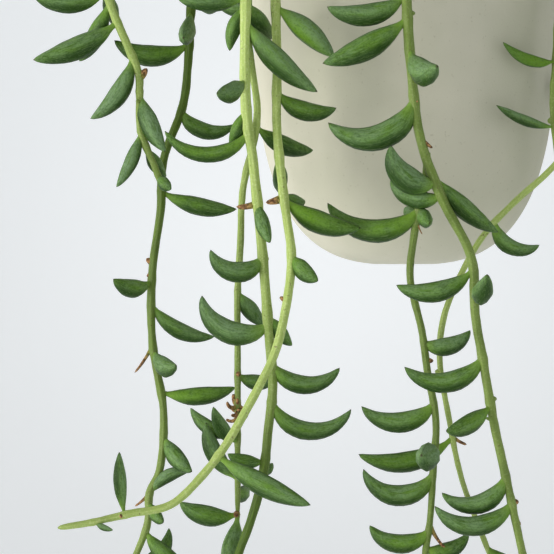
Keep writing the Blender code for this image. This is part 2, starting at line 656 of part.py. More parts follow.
def make_leafy_stem(stem, collection, joined, taken, finish):
    """One stem with its fork and leaves, as one solid; returns the balls that its leaves fill."""
    body = stem_tube(stem.name, stem, collection)
    parts = [stem]
    if stem.fork:
        parts.append(stem.fork)
        stem_tube("fork", stem.fork, joined)
    own = {part.name: stem_balls(part) for part in parts}
    filled = []
    for part in parts:
        line = route_points(part.route, STEM_STEP)
        for leaf in part.leaves:
            root = seat(route_point(part.route, leaf.at), line)
            others = [thinned(balls, OWN_STEM_SHARE) for name, balls in own.items() if name != part.name]
            near = [taken] + [thinned(balls, OWN_LEAF_SHARE) for balls in filled] + others
            fitted, balls = fitted_leaf(leaf, root, np.vstack(near), own[part.name])
            if fitted is None:
                continue
            add_mesh_object("leaf", leaf_mesh("leaf", fitted, root), joined)
            filled.append(balls[2:])
    boolean(body, joined, "UNION")
    finish_object(body, finish)
    return np.vstack(filled)


def rule_leaves(route, first, last, count, draw):
    """Leaves that alternate round a stem, with small seeded differences."""
    leaves = []
    for index in range(count):
        at = first + (last - first) * index / max(1, count - 1)
        along = (route_point(route, at + 0.1) - route_point(route, at)).normalized()
        heading = math.degrees(math.atan2(along.y, along.x)) if abs(along.z) < 0.7 else 0.0
        side = heading + 137.5 * index + draw.uniform(-25, 25)
        length = draw.uniform(20, 28) * (1.0 - 0.35 * (index / count) ** 3)
        leaves.append(Leaf(at, side % 360, length, draw.uniform(-25, 8), draw.uniform(45, 115)))
    return leaves


def hanging_stem(name, angle, root_radius, reach, drop, count):
    """A stem that rises from the soil, arches over the rim and hangs down with a slight sway."""
    draw = random.Random(name)
    rim = pot_radius(POT_HEIGHT) / MM
    section = [
        (root_radius, -20), (root_radius, -8), (root_radius + 3, 6), (rim - 3, 14 + reach / 4),
        (rim + reach * 0.75, 8), (rim + reach, -12),
    ]
    steps = max(1, round(drop / 26))
    for step in range(1, steps + 1):
        section.append((rim + reach + draw.uniform(-3, 3), -12 - (drop - 12) * step / steps))
    route = []
    for index, (radius, z) in enumerate(section):
        turn = math.radians(angle + (3.0 * math.sin(index * 1.3) if index > 3 else 0.0))
        route.append((radius * math.cos(turn), radius * math.sin(turn), z))
    leaves = rule_leaves(route, 2.3, len(route) - 1.15, count, draw)
    return Stem(name, route, leaves, 0.95)


def crown_shoot(name, x, y, height, lean_x, lean_y):
    """A short young shoot in the middle of the pot."""
    draw = random.Random(name)
    route = [
        (x, y, -20), (x, y, -5), (x + lean_x * 0.2, y + lean_y * 0.2, height * 0.4),
        (x + lean_x * 0.6, y + lean_y * 0.6, height * 0.8), (x + lean_x, y + lean_y, height),
    ]
    return Stem(name, route, rule_leaves(route, 1.6, 3.85, 6, draw), 0.9)


def all_stems():
    """Every stem: those seen from the front, then the sides and back, then the crown."""
    sides = [hanging_stem(name, *sizes) for name, sizes in HANGING_STEMS.items()]
    crown = [crown_shoot(name, *sizes) for name, sizes in CROWN_SHOOTS.items()]
    return [*FRONT_STEMS, *sides, *crown]


def main():
    """Make the whole part."""
    remove_everything()
    whole = bpy.data.collections.new("potted_fishhook_succulent")
    cutters = bpy.data.collections.new("cutters")
    joined = bpy.data.collections.new("joined")
    for collection in (whole, cutters, joined):
        bpy.context.scene.collection.children.link(collection)
    stems = all_stems()
    make_pot(whole, cutters)
    make_soil(whole, cutters, stems)
    make_wires(whole)
    make_hook(whole, cutters, joined)
    leafy = material("leaf_and_stem", (0.10, 0.20, 0.06), 0.45)
    bodies = {stem.name: stem_balls(stem) for stem in stems}
    forks = {stem.name: stem_balls(stem.fork) for stem in stems if stem.fork}
    filled = [wire_balls()]
    for stem in stems:
        others = [balls for group in (bodies, forks) for name, balls in group.items() if name != stem.name]
        taken = np.vstack(filled + others)
        filled.append(make_leafy_stem(stem, whole, joined, taken, leafy))


main()
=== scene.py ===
"""Looks of a hanging pot with a trailing fishhook-leaved succulent, laid out as a Blender add-on.

The pot, its soil, its hanger and its leafy stems are each made by an operator from the sizes and colours
in the sidebar. The origin is the point that the hook hangs from. Places on the plant are in millimetres,
measured from the pot's axis at the height of its rim, and the front of the plant faces -Y.
"""

import json
import math
import random
from collections import namedtuple

import bmesh
import bpy
import numpy as np
from mathutils import Matrix, Vector
from mathutils.geometry import intersect_point_line

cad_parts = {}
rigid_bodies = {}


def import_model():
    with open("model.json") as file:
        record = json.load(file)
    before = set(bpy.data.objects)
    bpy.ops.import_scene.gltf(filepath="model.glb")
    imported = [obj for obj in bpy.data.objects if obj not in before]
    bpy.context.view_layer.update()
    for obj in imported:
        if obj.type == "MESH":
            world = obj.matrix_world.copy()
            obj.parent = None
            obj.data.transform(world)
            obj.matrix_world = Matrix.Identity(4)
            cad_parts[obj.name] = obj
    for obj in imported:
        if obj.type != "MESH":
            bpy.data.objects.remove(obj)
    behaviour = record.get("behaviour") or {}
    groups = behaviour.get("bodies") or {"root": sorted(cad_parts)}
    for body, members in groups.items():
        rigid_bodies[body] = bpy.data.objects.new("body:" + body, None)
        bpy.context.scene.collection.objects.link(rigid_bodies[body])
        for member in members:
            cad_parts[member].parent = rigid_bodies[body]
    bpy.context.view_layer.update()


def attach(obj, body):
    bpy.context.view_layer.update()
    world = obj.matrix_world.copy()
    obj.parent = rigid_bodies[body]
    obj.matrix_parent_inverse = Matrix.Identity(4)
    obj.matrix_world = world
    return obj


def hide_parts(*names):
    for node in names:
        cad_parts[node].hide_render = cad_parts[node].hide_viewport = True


bl_info = {
    "name": "Hanging Fishhook Succulent",
    "version": (1, 0, 0),
    "blender": (4, 5, 0),
    "location": "View3D > Sidebar > Succulent",
    "description": "Makes a hanging pot with a trailing fishhook-leaved succulent",
    "category": "Add Mesh",
}

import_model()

MM = 0.001
BODY = "root"

# Pot
RIM_Z = -0.170
POT_HEIGHT = 0.122
POT_RADIUS = 0.0545
POT_FLARE = 0.04
POT_ROUND_HEIGHT = 0.090
POT_ROUNDNESS = 3.0
POT_WALL = 0.004
FOOT_RADIUS = 0.012
POT_BOTTOM_Z = RIM_Z - POT_HEIGHT
PROFILE_STEPS = 40
PROFILE_CROWDING = 1.6
WELD_DISTANCE = 0.00002

# Soil
SOIL_DEPTH = 0.011
SOIL_CROWN = 0.004
SOIL_GAP = 0.0002
CRUMB_KINDS = 4
CRUMBS_PER_SQUARE_METRE = 130000.0
GRIT_SHARE = 0.1
CRUMB_SIZES = (0.35, 1.5)
CRUMB_SPIN = (6.3, 6.3, 6.3)
SOIL_STEPS = 30

# Hanger
WIRE_RADIUS = 0.001
WIRE_ANGLES = (60, 180, 300)
WIRE_HOLE_DROP = 0.0055
WIRE_HOLE_RADIUS = WIRE_RADIUS * 1.3
CORNER_STEPS = 6
WIRE_WELD_DISTANCE = 0.000005
WIRE_TOP_RADIUS = 0.0034
WIRE_TOP_Z = -0.0215
COLLAR_RADIUS = 0.0058
COLLAR_BOTTOM_Z = -0.031
COLLAR_HEIGHT = 0.0105
HOOK_INNER_RADIUS = 0.007
HOOK_WIRE_RADIUS = 0.0016

# Leafy stems
STEM_RADIUS = 0.0016
STEM_STEP = 0.018
LEAF_DEPTH = 0.0078
LEAF_THICKNESS = 0.0064
LEAF_SHAPE = ((0.0, 0.36), (0.2, 0.74), (0.5, 1.0), (0.8, 0.62))
STRAIGHT_TURN = 86
TIP_DEPTH = 0.0012
OWN_STEM_SHARE = 0.1
OWN_LEAF_SHARE = 0.6
CLEARANCE = 0.0007
TURNS_TRIED = (0, 14, -14, 28, -28, 44, -44, 62, -62)
LIFTS_TRIED = (0, 16, -16, 32, -32)
LENGTHS_TRIED = (1.0, 0.8, 0.62)
LEAF_STEPS = 10
MOST_GIRTH = 1.08
LEAST_GIRTH = 0.45
GIRTH_LENGTH = 48
BALL_STEP = 0.002
ROUTE_FINENESS = 20
GUIDE_FINENESS = 8
SWELLING = 0.16
SWELLING_REACH = 0.10

# Along a leaf, the first ball that has to be clear of other plants, of the pot, and of its own stem.
FIRST_BALL = 2
POT_BALL = 3
STEM_BALL = 5

# Leaf: at = place along the route (point number and fraction), side = compass angle in degrees
# (0 right, 90 back, 180 left, 270 front), length in mm, tilt = rise of the chord, turn = curl of the hook,
# girth = how thick it is for its length.
Leaf = namedtuple("Leaf", "at side length tilt turn girth", defaults=(60, 1.0))
Stem = namedtuple("Stem", "name route leaves thickness fork", defaults=(None,))


def grown(name, route, leaves, thickness=1.0, fork=None):
    """A stem along its route's points in mm, with a leaf for each row of leaf values."""
    return Stem(name, route, [Leaf(*row) for row in leaves], thickness, fork)


FRONT_STEMS = (
    grown(
        "stem_left_short",
        [(-30, -14, -20), (-30, -14, -8), (-34, -18, 12), (-50, -31, 31), (-78, -46, 34), (-101, -57, 12),
         (-110, -60, -16), (-109, -60, -28), (-102.5, -60, -44), (-98.5, -60, -54), (-98, -60, -62),
         (-97.5, -60, -75), (-92.5, -60, -88), (-90, -60, -95)],
        [(7.5, 190, 33, -25, 35), (8.35, 190, 27, -57, 60, 0.9), (6.8, 180, 27, 0),
         (7.05, 130, 27, -64, 30), (9.9, 340, 24, -64, 30), (11.0, 200, 22, -66, 25, 0.75),
         (11.4, 30, 14, -48, 30), (12.3, 340, 9, -35, 30), (2.4, 120, 22, 10), (3.2, 300, 24, -5, 80),
         (3.9, 130, 25, -5, 70), (4.6, 290, 26, -15, 70), (5.2, 160, 26, -10, 80), (5.9, 300, 25, -25, 60),
         (6.6, 140, 20, -68, 30)],
    ),
    grown(
        "stem_left_long",
        [(-36, -6, -20), (-36, -6, -8), (-42, -12, 10), (-56, -26, 20), (-70, -40, 8), (-78, -49, -14),
         (-80, -50, -30), (-81, -50, -48), (-83, -50, -65), (-90, -50, -85), (-91, -50, -103),
         (-94, -50, -125), (-94, -50, -150), (-90, -50, -175), (-91, -50, -195), (-95, -50, -205),
         (-96, -50, -217), (-103, -50, -235), (-106, -50, -246)],
        [(6.05, 262, 24, -30), (6.7, 180, 27, 2, 83), (8.1, 0, 20, -14, 110, 0.9),
         (9.63, 0, 28, -13, 36, 0.82), (11.14, 228, 20, 2, 70), (11.46, 0, 26, -28, 70, 0.8),
         (12.13, 302, 19, -15, 80, 1.1), (12.73, 0, 27, 4, 40, 0.85), (13.42, 315, 19, -40, 40, 1.1),
         (15.05, 345, 18, 30, -60, 0.75), (15.3, 305, 12, -32, 40), (16.1, 335, 22, -38, 40),
         (16.8, 20, 20, 43, 100), (17.2, 200, 20, -20, 60), (17.7, 310, 14, -50, 30), (2.5, 200, 22, 5),
         (3.3, 60, 23, 0), (4.1, 190, 22, -5, 80), (4.8, 80, 22, -10), (5.3, 190, 24, 0, 60)],
    ),
    grown(
        "stem_centre_forked",
        [(-20, -26, -20), (-20, -26, -8), (-24, -31, 10), (-38, -48, 22), (-52, -64, 14), (-59, -71, -8),
         (-60, -72, -30), (-60, -72, -65), (-57, -72, -90), (-54, -72, -120), (-52, -72, -145),
         (-50.5, -72, -165), (-52, -72, -180), (-54, -72, -197), (-58, -72, -212), (-63, -72, -226),
         (-66, -72, -240), (-67, -72, -250)],
        [(7.43, 181, 29.5, 1, 116, 0.7), (6.21, 355, 36, -45, 30), (5.97, 180, 24, 0, 20),
         (6.78, 245, 24, -15, 40), (6.0, 50, 25, -25, 30, 1.1), (6.05, 150, 17, -70, -35, 0.9),
         (7.1, 160, 15, -60, 20), (8.35, 320, 17, -60, 30), (9.0, 197, 19, 8, 140, 1.12),
         (9.8, 15, 14, -50, 20), (9.95, 180, 25.5, 24, 127, 1.1), (10.58, 0, 24, -4, 120, 0.9),
         (11.37, 0, 28, -5, 133, 0.82), (12.68, 195, 14, 12, 50, 0.9), (12.95, 60, 8, 25, 40, 0.7),
         (15.0, 222, 22, -40, 50), (15.3, 0, 22, -10, 90), (15.9, 200, 20, -10, 80),
         (16.5, 330, 15, -40, 40), (2.6, 180, 22, 5), (3.4, 320, 22, 10), (4.2, 190, 24, -5, 70),
         (5.0, 300, 24, -15), (5.5, 180, 22, -20)],
        1.15,
        grown(
            "fork",
            [(-60, -72, -38), (-58, -68, -52), (-56, -67, -67), (-57, -66, -78), (-60, -65, -90),
             (-61.5, -63, -100), (-62, -62, -115), (-63, -62, -132), (-63, -62, -150), (-63, -62, -175),
             (-63, -62, -195), (-63, -62, -212)],
            [(2.6, 20, 25, -18, 45, 0.95), (7.0, 10, 16, -52, 20), (8.47, 20, 15, -8, 60, 0.95),
             (9.37, 160, 20, 27, 70, 0.85), (9.5, 215, 18, 46, 60, 0.95), (10.2, 182, 23, 61, 55, 0.9),
             (10.4, 80, 16, 0), (10.93, 185, 21, 12, 60, 1.1), (10.98, 250, 24, -65, 30, 1.2)],
            0.8,
        ),
    ),
    grown(
        "stem_centre_curved",
        [(-10, -22, -20), (-10, -22, -8), (-14, -29, 12), (-27, -48, 28), (-41, -66, 22), (-48, -72, 1),
         (-49.5, -66, -23), (-49, -65, -48.5), (-49, -68, -75), (-46.5, -74, -100), (-44, -80, -120),
         (-46, -83, -138), (-50, -83, -154), (-58, -83, -170), (-66, -83, -184), (-75, -83, -196),
         (-86, -83, -206), (-100, -83, -209), (-113, -83, -212), (-125, -83, -214)],
        [(6.33, 350, 28, -41, -12), (7.47, 0, 22, -16, 85), (8.35, 85, 20, -38, 50), (8.97, 0, 29, -21, 55),
         (8.9, 40, 13, -10, 60), (9.95, 318, 15, -38, 40, 1.15), (14.4, 344, 37, -26, 20, 0.95),
         (17.14, 200, 22, 85, 12, 0.68), (17.95, 350, 8, -18, 30, 0.5), (2.6, 200, 20, 15),
         (3.3, 330, 24, 5), (4.0, 200, 24, 0, 70), (4.7, 330, 26, -5, 70), (5.5, 270, 24, -30, 50)],
        1.05,
    ),
    grown(
        "stem_right_forked",
        [(4, -24, -20), (4, -24, -8), (3, -31, 12), (0, -50, 26), (-3, -68, 18), (-5, -78, -2),
         (-4, -80, -30), (-2, -80, -58), (1.2, -80, -80), (8.5, -80, -100), (18.5, -80, -120),
         (20, -80, -140), (23, -80, -158), (26.5, -80, -178), (30.5, -80, -196), (34, -80, -212),
         (37.5, -80, -228), (41, -80, -244)],
        [(5.95, 180, 28, -9, 80), (6.25, 187, 34, -28, 30, 1.05), (6.62, 286, 30, -16, 75, 1.15),
         (7.3, 180, 31, -15, 128, 1.1), (8.7, 195, 20.5, 38, 115, 1.35), (8.57, 20, 32, -38, 25, 0.88),
         (8.93, 150, 19, 17, 90), (10.2, 180, 27.5, -12, 84, 0.92), (10.55, 280, 21, 14, 80, 1.25),
         (11.85, 180, 27.5, -6, 110, 0.92), (12.68, 222, 24, -19, 40), (14.0, 180, 23, -15, 130, 0.95),
         (14.6, 188, 27.5, -1, 115, 0.92), (15.8, 10, 24, -20, 60), (16.3, 195, 22, -25, 60),
         (16.7, 320, 15, -50, 30), (2.6, 170, 22, 10), (3.3, 350, 24, 5), (4.1, 200, 26, 0, 80),
         (4.8, 340, 27, -5, 80), (5.5, 190, 25, -20), (5.5, 20, 22, 10, 50)],
        1.1,
        grown(
            "fork",
            [(3, -80, -84), (3, -76, -92), (1, -72, -103), (-1, -70, -114), (-2, -70, -128), (2, -70, -146),
             (4, -70, -160), (7, -70, -178), (6, -70, -195), (5, -70, -212), (3, -70, -226),
             (2, -70, -238)],
            [(2.05, 180, 33, 5, 111), (1.95, 285, 14, -25, 40, 1.1), (2.1, 160, 11, 10, 60),
             (5.28, 0, 17, 15, 90, 1.05), (6.65, 180, 25.5, -2, 105, 0.97), (7.5, 250, 20, -5, 50, 1.5),
             (8.08, 180, 24.5, 4, 140), (9.3, 180, 21, 6, 112), (9.75, 15, 17, 18, 90),
             (10.5, 300, 16, -50, 30), (10.7, 150, 14, -40, 40)],
            0.85,
        ),
    ),
    grown(
        "stem_right_pale",
        [(26, -20, -20), (26, -20, -8), (31, -25, 8), (44, -38, 18), (58, -50, 8), (66, -57, -18),
         (66, -60, -48), (60, -61, -72), (50, -61, -87), (36, -61, -100), (25.5, -61, -111),
         (17, -61, -125), (10.5, -61, -141), (9, -61, -157), (12, -61, -176), (16, -61, -196),
         (21, -61, -211), (28, -61, -229), (31, -61, -238)],
        [(9.68, 0, 18, -27, 125, 0.9), (14.4, 180, 34, -10, 75, 0.9), (2.6, 330, 22, 5), (3.3, 200, 22, 0),
         (4.1, 350, 25, -5, 80), (4.9, 230, 22, -15), (5.5, 350, 26, -10), (6.1, 260, 24, -20),
         (6.7, 0, 25, -15, 80), (7.2, 300, 20, -25), (7.8, 20, 22, -25), (16.6, 350, 18, -30),
         (17.3, 200, 14, -40, 40), (17.6, 320, 12, -50, 30)],
        0.75,
    ),
    grown(
        "stem_far_right",
        [(38, -12, -20), (38, -12, -8), (43, -18, 6), (52, -32, 10), (55, -39, -6), (54, -41, -26),
         (53, -41, -48), (52, -41, -66), (55, -40, -88), (61, -38, -110), (66, -36, -135), (68, -35, -160),
         (69, -34, -185)],
        [(6.0, 212, 24.5, 13, 60, 0.62), (7.3, 212, 28.5, 14, 25, 0.5), (2.6, 0, 20, 5), (3.4, 350, 22, 0),
         (4.2, 10, 22, -10, 70), (4.9, 340, 25, -15, 80), (5.5, 300, 20, -30), (6.5, 0, 25, -10, 90),
         (7.7, 0, 24, -20, 80), (8.4, 300, 22, -20, 60), (8.9, 10, 25, -10, 80), (9.4, 230, 20, -25, 70),
         (9.9, 350, 24, -10, 100), (10.4, 270, 20, -25, 60), (10.8, 0, 23, -15, 80),
         (11.3, 200, 18, -30, 50), (11.7, 330, 14, -45, 30)],
    ),
)

# The other stems follow a rule: compass angle, root radius, reach past the rim, drop below it, leaves.
HANGING_STEMS = {
    "stem_side_1": (345, 44, 20, 215, 11),
    "stem_side_2": (8, 36, 16, 150, 9),
    "stem_side_3": (22, 45, 26, 190, 11),
    "stem_side_4": (43, 34, 25, 60, 6),
    "stem_back_1": (76, 38, 13, 86, 7),
    "stem_back_2": (95, 45, 15, 74, 7),
    "stem_back_3": (116, 36, 12, 82, 7),
    "stem_back_4": (138, 43, 11, 24, 6),
    "stem_back_5": (163, 39, 9, 14, 5),
}
BEND_SPACING = 26
BEND_SWAY = (-3, 3)

# Their leaves: the angle from one to the next, the ranges that they are drawn from, and how much the
# last is shorter. A stem past this steepness has no heading of its own.
GOLDEN_ANGLE = 137.5
SIDE_SWAY = (-25, 25)
RULE_LENGTHS = (20, 28)
RULE_TILTS = (-25, 8)
RULE_TURNS = (45, 115)
RULE_SHORTENING = 0.35
STEEP = 0.7

# Short shoots in the crown: their place, height, and how far they lean.
CROWN_SHOOTS = {
    "shoot_1": (-6, 4, 30, -14, -4),
    "shoot_2": (13, 12, 26, 12, 6),
    "shoot_3": (-18, 16, 22, -12, 10),
    "shoot_4": (18, -8, 24, 12, -12),
    "shoot_5": (0, 28, 20, 4, 14),
}

# How yellow and pale each stem is at its root and at its end, where 0 is dark and 1 is light; the
# darkness is partly the stem's own age and partly painted shade on stems that lie in the shade of others.
# What lies past 0 or 1 is held there.
STEM_PALENESS = {
    "stem_left_short": (1.3, 0.2),
    "stem_left_long": (-0.35, 0.4),
    "stem_centre_forked": (2.0, -0.6),
    "stem_centre_forked_fork": (0.9, 0.2),
    "stem_centre_curved": (1.1, 0.6),
    "stem_right_forked": (0.2, 0.3),
    "stem_right_forked_fork": (0.25, 0.15),
    "stem_right_pale": (0.9, 0.6),
}
USUAL_PALENESS = (0.3, 0.5)

# Leaves that stand out, by their number on the stem: how fresh green and how waxy each is, from 0 to 1.
# Past 1 a leaf also loses the painted shade on its underside.
LEAF_LOOKS = {
    "stem_left_short": {
        0: (0.3, 0.6), 1: (0.2, 1.0), 2: (0.2, 0.6), 3: (0.6, 0.3), 4: (0.0, 1.0), 5: (0.1, 1.0),
        6: (0.1, 0.8),
    },
    "stem_left_long": {
        0: (0.1, 0.5), 1: (0.5, 0.0), 2: (0.4, 0.5), 3: (0.4, 0.2), 4: (0.5, 0.3), 5: (0.3, 0.6),
        6: (0.2, 0.8), 7: (0.9, 0.0), 8: (0.3, 0.6),
    },
    "stem_centre_forked": {
        0: (0.8, 0.15), 1: (0.8, 0.9), 2: (0.3, 0.7), 3: (0.4, 0.8), 8: (0.3, 0.8), 10: (0.1, 1.0),
        11: (0.4, 0.6), 12: (0.4, 0.5),
    },
    "stem_centre_forked_fork": {5: (0.1, 0.9), 8: (0.2, 0.7)},
    "stem_centre_curved": {
        0: (1.7, 1.0), 1: (0.8, 0.3), 2: (0.2, 0.3), 3: (1.0, 0.0), 6: (0.6, 0.6), 7: (0.3, 0.7),
    },
    "stem_right_forked": {
        0: (0.5, 0.8), 1: (0.5, 0.4), 2: (0.3, 0.8), 3: (0.3, 0.7), 4: (0.0, 1.0), 5: (0.3, 0.4),
        7: (0.4, 0.5), 8: (0.2, 0.7), 9: (0.4, 0.5), 10: (0.9, 0.2), 11: (0.3, 0.8), 12: (0.3, 0.7),
    },
    "stem_right_forked_fork": {
        0: (0.8, 0.2), 3: (0.3, 0.9), 4: (0.6, 0.6), 5: (0.2, 1.0), 6: (0.4, 0.7), 7: (0.8, 0.4),
    },
    "stem_right_pale": {1: (0.9, 0.2)},
    "stem_far_right": {0: (1.4, 0.1), 1: (0.5, 1.0)},
}

# Small growths on the stems: a spur is a thin dry stalk and a knob a short swelling. Each has its place
# along the route, side, length and thickness in mm, tilt, how dry it is, and its curl in degrees.
SPUR = 2
KNOB = 3
Growth = namedtuple("Growth", "kind at side length thickness tilt dry curl", defaults=(0, 1.0, 25))

# The lengths, thicknesses and tilts that growths are drawn from where the photo shows none.
GROWTH_SIZES = {KNOB: ((2.3, 2.8), (2.2, 3.2)), SPUR: ((4.0, 7.0), (1.0, 1.8))}
GROWTH_TILTS = (-60, 10)

GROWTHS = {
    "stem_left_short": [(KNOB, 9.24, 0, 4.4, 3.2, 50), (KNOB, 10.2, 250, 2.6, 2.4, 0, 0.0)],
    "stem_left_long": [
        (KNOB, 10.88, 180, 3.0, 2.6, 40), (KNOB, 11.02, 200, 2.5, 2.2, -30),
        (SPUR, 12.06, 180, 12.0, 1.5, -57), (SPUR, 14.98, 182, 7.4, 1.4, -43),
    ],
    "stem_centre_forked": [(KNOB, 8.38, 181, 7.6, 2.7, -8), (KNOB, 9.02, 40, 2.9, 3.0, 0, 0.0)],
    "stem_centre_forked_fork": [
        (KNOB, 8.46, 285, 1.9, 2.6), (KNOB, 10.92, 240, 2.3, 3.0),
        *((SPUR, 8.82 + 0.016 * turn, 195 + 75 * turn, 2.4 + turn % 3, 2.1, 60 - 40 * (turn % 4), 1.0, 130)
          for turn in range(22)),
    ],
    "stem_centre_curved": [
        (KNOB, 8.96, 181, 6.6, 3.1, -16), (KNOB, 10.84, 180, 2.9, 2.2, 30),
        (KNOB, 17.2, 262, 1.9, 2.2), (KNOB, 17.2, 60, 2.2, 2.2),
    ],
    "stem_right_forked": [
        (KNOB, 6.18, 0, 2.8, 2.6, 0, 0.0), (KNOB, 7.34, 300, 2.4, 1.3),
        (SPUR, 7.94, 350, 5.6, 1.9, -39), (KNOB, 12.56, 0, 2.6, 2.4, 0, 0.0),
        (KNOB, 12.9, 180, 2.5, 2.0, 0, 0.0), (KNOB, 14.56, 0, 2.6, 2.6),
        (SPUR, 14.6, 0, 8.4, 1.5, -66),
    ],
    "stem_right_forked_fork": [
        (SPUR, 2.34, 300, 6.0, 0.9, -66), (KNOB, 5.76, 0, 2.6, 2.2),
        (SPUR, 9.12, 0, 10.9, 1.8, -57),
    ],
    "stem_right_pale": [(SPUR, 14.38, 0, 5.9, 1.7, -30), (KNOB, 13.2, 200, 2.2, 2.2, 0, 0.0)],
    "stem_far_right": [(KNOB, 7.18, 180, 2.6, 3.4, 0, 0.0), (KNOB, 7.18, 0, 2.6, 3.2, 0, 0.0)],
}

# The skins, drawn straight and one unit long before they are bent.
SKIN_RINGS = 18
SKIN_SIDES = 10
SMALL_SKIN_RINGS = 8
SMALL_SKIN_SIDES = 7
STEM_END_STEPS = 3
SHOOT_LEAF_GIRTH = 0.8
USUAL_FRESH = (0.1, 0.9)
USUAL_WAXY = (0.1, 1.0)
LEAF_SWAY = (-0.05, 0.05)
LEAF_ROLL = (-0.25, 0.25)
RIDGE_SHARPNESS = 1.35
LEAF_SWELL = 0.9
LEAF_DRAWN_OUT = 0.72
TIP_WIDTH = 0.02
SLOW_THINNING = 0.18
END_THINNING = 0.2
END_ROUNDING = 0.3
STEM_SKIN_PER_METRE = 40.0
LUMPS_PER_METRE = 190
HOOKED_SKIN = {"peak": 0.42, "root": 0.34, "neck": 0.05}
STRAIGHT_SKIN = {"peak": 0.50, "root": 0.25, "neck": 0.10}

# Camera and stage
CAMERA_PLACE = (-0.049, -0.875, -0.297)
CAMERA_LENS = 148.5
FLOOR_Z = -1.5
FLOOR_RADIUS = 7.0
WALL_CURVE = 3.0
WALL_HEIGHT = 4.5
SKY_COLOUR = (1.0, 0.995, 0.975, 1.0)
PLANT_MIDDLE = (-0.02, -0.03, -0.28)

# Each light's place, what it faces, its width, its colour, and the setting that holds its power.
LIGHTS = {
    "key_light": ((-2.0, -0.75, -0.3), PLANT_MIDDLE, 1.6, (1.0, 0.98, 0.95), "key_power"),
    "top_light": ((-0.5, -1.1, 2.0), PLANT_MIDDLE, 1.6, (1.0, 1.0, 1.0), "top_power"),
    "fill_light": ((1.5, -0.7, -1.3), PLANT_MIDDLE, 1.6, (0.98, 0.99, 1.0), "fill_power"),
    "backdrop_light": ((0.05, 8.1, 0.81), (0.05, 9.54, -0.085), 0.8, (1.0, 1.0, 1.0), "backdrop_power"),
}

# The kind of input that a geometry tree has for each kind of value.
SOCKET_KINDS = {
    bpy.types.Collection: "NodeSocketCollection",
    bpy.types.Material: "NodeSocketMaterial",
    float: "NodeSocketFloat",
    int: "NodeSocketInt",
}


def seen(red, green, blue):
    """A colour as it looks on a screen, from 0 to 255, as the linear values that a shader takes."""
    return tuple(((value / 255 + 0.055) / 1.055) ** 2.4 for value in (red, green, blue))


class Value:
    """An output in a node tree. Numbers and vectors add, multiply and so on like any other."""

    def __init__(self, wiring, socket):
        self.wiring = wiring
        self.socket = socket

    def __add__(self, other):
        return self.wiring.math("ADD", self, other)

    def __sub__(self, other):
        return self.wiring.math("SUBTRACT", self, other)

    def __rsub__(self, other):
        return self.wiring.math("SUBTRACT", other, self)

    def __mul__(self, other):
        return self.wiring.math("MULTIPLY", self, other)

    def __truediv__(self, other):
        return self.wiring.math("DIVIDE", self, other)

    def __pow__(self, other):
        return self.wiring.math("POWER", self, other)

    def __abs__(self):
        return self.wiring.math("ABSOLUTE", self)

    def split(self):
        """A vector's three numbers."""
        node = self.wiring.node("ShaderNodeSeparateXYZ", {0: self})
        return [Value(self.wiring, socket) for socket in node.outputs]

    def turned(self, axis, angle):
        """A vector turned round the X, Y or Z axis."""
        return self.wiring.get("ShaderNodeVectorRotate", {"Vector": self, "Angle": angle}, rotation_type=axis)

    def rise(self, low, high):
        """A soft step from 0 at low to 1 at high."""
        ends = {0: self, 1: low, 2: high}
        return self.wiring.get("ShaderNodeMapRange", ends, interpolation_type="SMOOTHSTEP")

    def noise(self, scale, detail=2.0, roughness=0.5):
        """Smooth noise from 0 to 1 over a place."""
        inputs = {"Vector": self, "Scale": scale, "Detail": detail, "Roughness": roughness}
        return self.wiring.get("ShaderNodeTexNoise", inputs)


